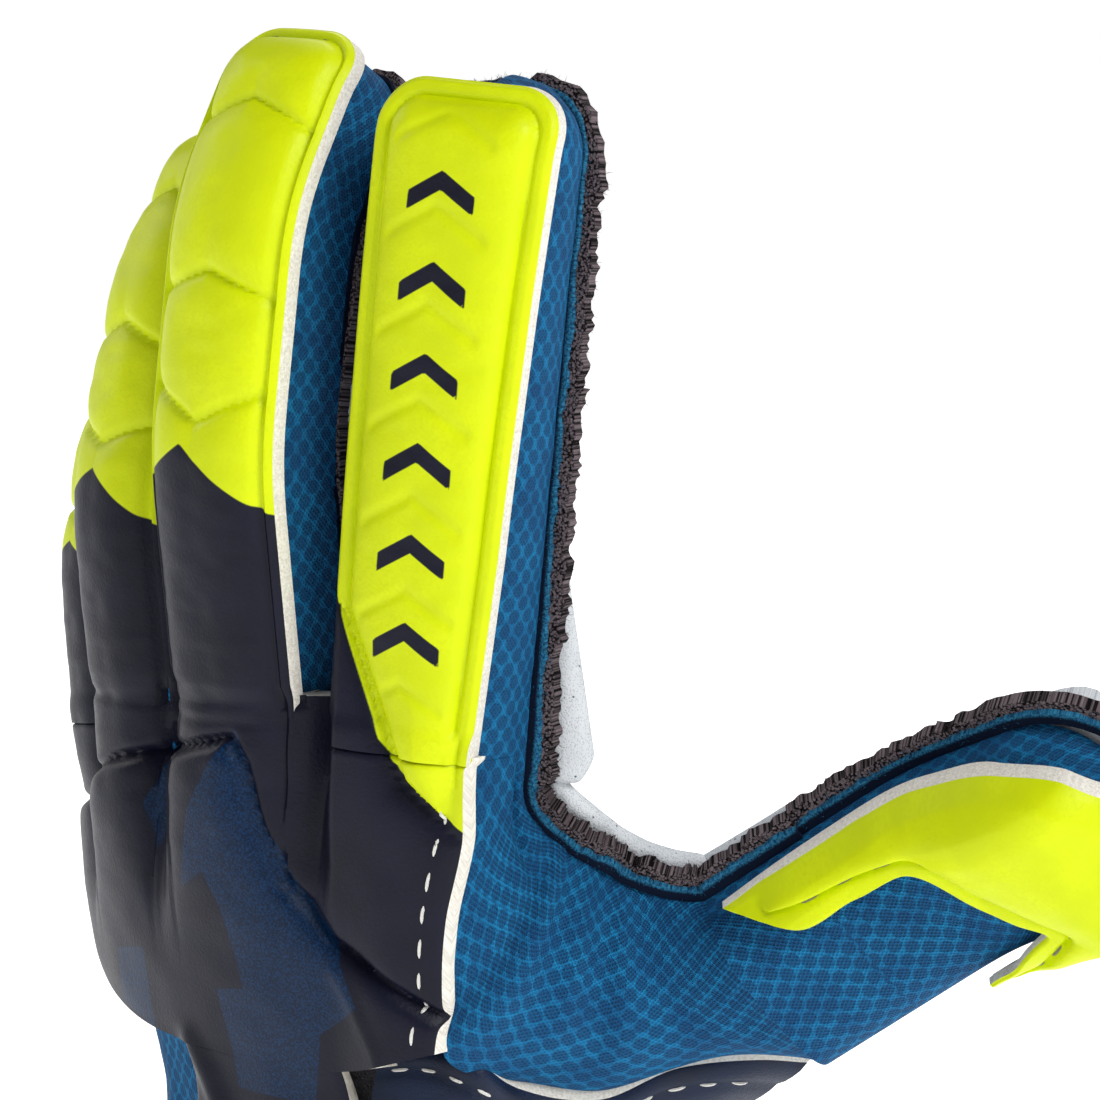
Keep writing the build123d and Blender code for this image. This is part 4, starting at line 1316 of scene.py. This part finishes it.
SIDE_START = 148  # degrees round the hand at which the little finger's mesh side begins
z, degrees = np.meshgrid(even(86, 152, 1.2), np.linspace(SIDE_START, 262, 60), indexing="ij")
bow = np.sin(np.clip((degrees - SIDE_START) / 84, 0, 1) * math.pi)
proud = 0.2 + 0.4 * smooth((240 - degrees) / 10) + 1.8 * bow * smooth((z - 90) / 30)
fit = hand_point(z, degrees, proud + 0.3 * value_noise(degrees / 9, z / 7, 51))
keep_layer("ulnar_mesh_side", KNIT, fit, hand_point(z, degrees, -0.5), fabric_rest(fit), body="hand",
           nodes=["ulnar_mesh_gusset"], slot="air_mesh")

z, degrees = np.meshgrid(even(88, 150, 1.6), np.linspace(0, 360, 120, endpoint=False), indexing="ij")
sunk = 0.4 + 5 * bell(np.minimum(degrees, 360 - degrees) / 30) * smooth((z - 120) / 15)
keep_layer("hand_lining_shell", LINING, hand_point(z, degrees, -sunk), hand_point(z, degrees, -sunk - 1.2),
           wrap=True, body="hand", nodes=["hand_back_lining", "hand_palm_lining"], slot="lining")

# ---------------------------------------------------------------- white stitches along the hand's back edge
shell = Shell()
line = curve_through(BACK_EDGE, 60)[9:]
inset = line - np.array([2.6, 0])
path = np.stack([inset[:, 0], back_height(inset[:, 0], inset[:, 1]), inset[:, 1]], -1)
shell.stitches(path, (0.35, -0.93, 0), length=3.0, gap=2.0, radius=0.26)
keep(shell, "hand_edge_stitches", [WHITE_THREAD], body="hand", slot="navy_foam")


# ---------------------------------------------------------------- wrist
def cuff_point(z, degrees, offset):
    """Points of the cuff's oval section."""
    heights, *values = zip(*CUFF_SECTIONS)
    cx, cy, a, b = [np.interp(z, heights, value) for value in values]
    turn = np.radians(degrees)
    x, y = cx + (a + offset) * np.cos(turn), cy + (b + offset) * np.sin(turn)
    return np.stack(np.broadcast_arrays(x, y, z + 0 * x), -1)


RIBS, CUFF_RADIUS = 74, 34
z, degrees = np.meshgrid(even(5, 86.5, 1.3), np.linspace(0, 360, RIBS * 8, endpoint=False), indexing="ij")
rib = 0.34 * np.cos(np.radians(degrees) * RIBS)
slack = 0.5 * value_noise(degrees / 30, z / 6, 61) * smooth((z - 8) / 10) * smooth((88 - z) / 8)
rest = np.stack([np.radians(degrees) * CUFF_RADIUS, z, 0 * z], -1)
outer, inner = cuff_point(z, degrees, 2.0 + rib + slack), cuff_point(z, degrees, 0.3 + slack)
keep_layer("rib_cuff", RIB, outer, inner, rest, wrap=True, body="hand", nodes=["wrist_rib_cuff"],
           slot="rib_knit")

turn, degrees = np.meshgrid(np.linspace(0, 2 * math.pi, 19), np.linspace(0, 360, 240, endpoint=False),
                            indexing="ij")
shell = Shell()
shell.grid(cuff_point(3.1 + 2.9 * np.sin(turn), degrees, 1.2 + 2.1 * np.cos(turn)), wrap=True)
keep(shell, "cuff_binding_roll", [BIND], body="hand", nodes=["cuff_binding"], slot="binding")


BAND_RADIUS = 36
GROOVE = 3.2  # how far the bands' stitched grooves lie from their edges


def wrist_band(low, high, start, stop, inner, thick, name, materials, node, slot, body="hand", bow=0.5,
               stitch=None, rounded_end=0.0):
    """A band round the wrist, crowned and with rounded edges."""
    degrees = np.linspace(start, stop, int((stop - start) * 0.9) + 8)[:, None]
    v = np.linspace(0, 1, 40)[None]
    pull = 0
    if rounded_end:
        mm = np.radians(stop - degrees) * BAND_RADIUS
        up = np.clip(1 - mm / rounded_end, 0, 1)
        pull = rounded_end * (1 - np.sqrt(np.clip(1 - up**2, 0, 1)))
    z = low + pull + (high - low - 2 * pull) * v + 0 * degrees
    edge = np.minimum(v, 1 - v) * (high - low)
    lip = 1 - np.sqrt(np.clip(1 - (1 - np.clip(edge / 1.2, 0, 1)) ** 2, 0, 1))
    groove = 0.4 * bell((edge - GROOVE) / 0.6)
    offset = inner + thick - 0.9 * lip + bow * np.sin(math.pi * v) - groove + 0 * degrees
    offset = offset + 0.15 * value_noise(degrees / 8, z / 6, 71)
    outer_points = cuff_point(z, degrees + 0 * z, offset)
    rest = np.stack([np.radians(degrees) * BAND_RADIUS + 0 * z, z, offset], -1)
    shell = Shell()
    shell.slab(outer_points, cuff_point(z, degrees + 0 * z, inner + 0 * offset), rest, steps=3)
    keep(shell, name, materials, body=body, nodes=[node], slot=slot)
    if stitch:
        threads = Shell()
        column = int(np.argmin(np.abs(v[0] * (high - low) - GROOVE)))
        for j in (column, v.size - 1 - column):
            path = outer_points[2:-2, j]
            centre = cuff_point(z[2:-2, j], degrees[2:-2, 0], 0)
            threads.stitches(path, unit(path - centre), length=2.8, gap=1.9, radius=0.24)
        keep(threads, f"{name}_stitches", [stitch], body=body, slot=slot)


OVER_CUFF = 2.7
OVER_LOOP = OVER_CUFF + 1.5
BAND_KINDS = [BAND, CUT, BACKING]
wrist_band(37, 69, 206, 338, OVER_CUFF, 1.1, "loop_panel", [LOOP] * 3, "closure_loop_pad", "loop_pile",
           bow=0.1)
wrist_band(34, 72, -14, 189, OVER_CUFF, 2.3, "strap_band", BAND_KINDS, "wrist_strap_band", "navy_band",
           stitch=WHITE_THREAD)
wrist_band(34, 72, 192, 326, OVER_LOOP + 1.3, 2.3, "strap_tab", BAND_KINDS, "strap_free_end", "navy_band",
           body="strap", stitch=WHITE_THREAD, rounded_end=9.0)
wrist_band(39, 67, 250, 320, OVER_LOOP + 0.05, 0.8, "hook_panel", [HOOK] * 3, "strap_hook_pad", "hook_tape",
           body="strap", bow=0.0)


# the wrist's thumb side: a navy band that runs from the back pad to under the thumb's root
columns = 110
SIDE_BAND_TOP = [hand_point(116.5, -54, 0.9), hand_point(117.5, -38, 1.2), (41.8, -6.5, 115.6),
                 (42.1, 1.8, 110.2), (46.8, 12.8, 107.4), (53.8, 22.0, 111.7), (61.9, 30.3, 112.8),
                 (64.6, 37.2, 111.6)]
band_top = curve_through(SIDE_BAND_TOP, columns)
band_low = hand_point(86.5, np.linspace(-54, 62, columns), 3.0)
v = np.linspace(0, 1, 34)[:, None, None]
side_band = band_top[None] * (1 - v) + band_low[None] * v
band_normal = normals_of(side_band)
band_normal = band_normal * np.sign(band_normal[17, 40, 0])
from_edge = 26 * np.minimum(v, 1 - v)
crown = 1.6 * np.sin(math.pi * v) - 0.4 * bell((from_edge - GROOVE) / 0.6)
side_band = side_band + band_normal * (crown - 0.8 * np.exp(-from_edge / 0.6))
beneath = side_band - band_normal * 2.4 + np.array([0, 0, 2.6]) * smooth((0.1 - v) / 0.1)
shell = Shell()
shell.slab(side_band, beneath, fabric_rest(side_band), steps=3)
keep(shell, "wrist_side_band", BAND_KINDS, body="hand", nodes=["wrist_side_panel"], slot="navy_band")
threads = Shell()
for row in (4, 29):
    threads.stitches(side_band[row, 2:-2], band_normal[row, 2:-2], length=2.8, gap=1.9, radius=0.24)
keep(threads, "wrist_side_band_stitches", [WHITE_THREAD], body="hand", slot="navy_band")

# ---------------------------------------------------------------- stage: floor, light and camera
floor_mesh = bpy.data.meshes.new("floor")
floor_mesh.from_pydata([(-8, -8, 0), (8, -8, 0), (8, 8, 0), (-8, 8, 0)], [], [(0, 1, 2, 3)])
floor = bpy.data.objects.new("floor", floor_mesh)
bpy.context.scene.collection.objects.link(floor)
white = bpy.data.materials.new("pale_floor")
white.use_nodes = True
surface = next(n for n in white.node_tree.nodes if n.type == "BSDF_PRINCIPLED")
surface.inputs["Base Color"].default_value = (0.7, 0.7, 0.7, 1)
surface.inputs["Roughness"].default_value = 0.9
surface.inputs["Emission Color"].default_value = (1, 1, 1, 1)
surface.inputs["Emission Strength"].default_value = 0.93
floor_mesh.materials.append(white)

world = bpy.data.worlds.new("studio")
bpy.context.scene.world = world
world.use_nodes = True
nodes, links = world.node_tree.nodes, world.node_tree.links
background = nodes["Background"]
coordinates, split = nodes.new("ShaderNodeTexCoord"), nodes.new("ShaderNodeSeparateXYZ")
height = nodes.new("ShaderNodeMapRange")
height.inputs["From Min"].default_value, height.inputs["From Max"].default_value = 0.10, 0.16
height.inputs["To Min"].default_value, height.inputs["To Max"].default_value = 1.0, 0.12
links.new(coordinates.outputs["Generated"], split.inputs[0])
links.new(split.outputs["Z"], height.inputs["Value"])
links.new(height.outputs[0], background.inputs["Strength"])
background.inputs["Color"].default_value = (1, 1, 1, 1)

AZIMUTH, ELEVATION, DISTANCE = 46.75, 9.14, 0.700
TARGET = Vector((0.0371, 0.0116, 0.1873))


def from_target(azimuth, elevation, distance):
    """A point seen from the target at an azimuth and elevation, in degrees."""
    a, e = math.radians(azimuth), math.radians(elevation)
    return TARGET + distance * Vector((math.sin(a) * math.cos(e), -math.cos(a) * math.cos(e), math.sin(e)))


def aimed(name, data, azimuth, elevation, distance):
    """A lamp or camera placed round the target and turned to it."""
    made = bpy.data.objects.new(name, data)
    bpy.context.scene.collection.objects.link(made)
    made.location = from_target(azimuth, elevation, distance)
    made.rotation_mode = "QUATERNION"
    made.rotation_quaternion = (TARGET - made.location).to_track_quat("-Z", "Y")
    return made


# name, azimuth, elevation, distance, size and power
LAMPS = (("key", 92, 38, 1.3, 0.7, 12), ("fill", 0, 30, 1.5, 1.2, 2), ("rim", -75, 25, 1.3, 0.7, 3),
         ("back", 215, 40, 1.5, 1.1, 7))
for name, azimuth, elevation, distance, size, power in LAMPS:
    lamp = bpy.data.lights.new(name, "AREA")
    lamp.shape, lamp.size, lamp.energy = "DISK", size, power
    aimed(name, lamp, azimuth, elevation, distance)

camera = aimed("camera", bpy.data.cameras.new("camera"), AZIMUTH, ELEVATION, DISTANCE)
camera.data.lens, camera.data.sensor_width = 160, 36
camera.data.clip_start, camera.data.clip_end = 0.01, 50
bpy.context.scene.camera = camera
bpy.context.scene.view_settings.view_transform = "Standard"
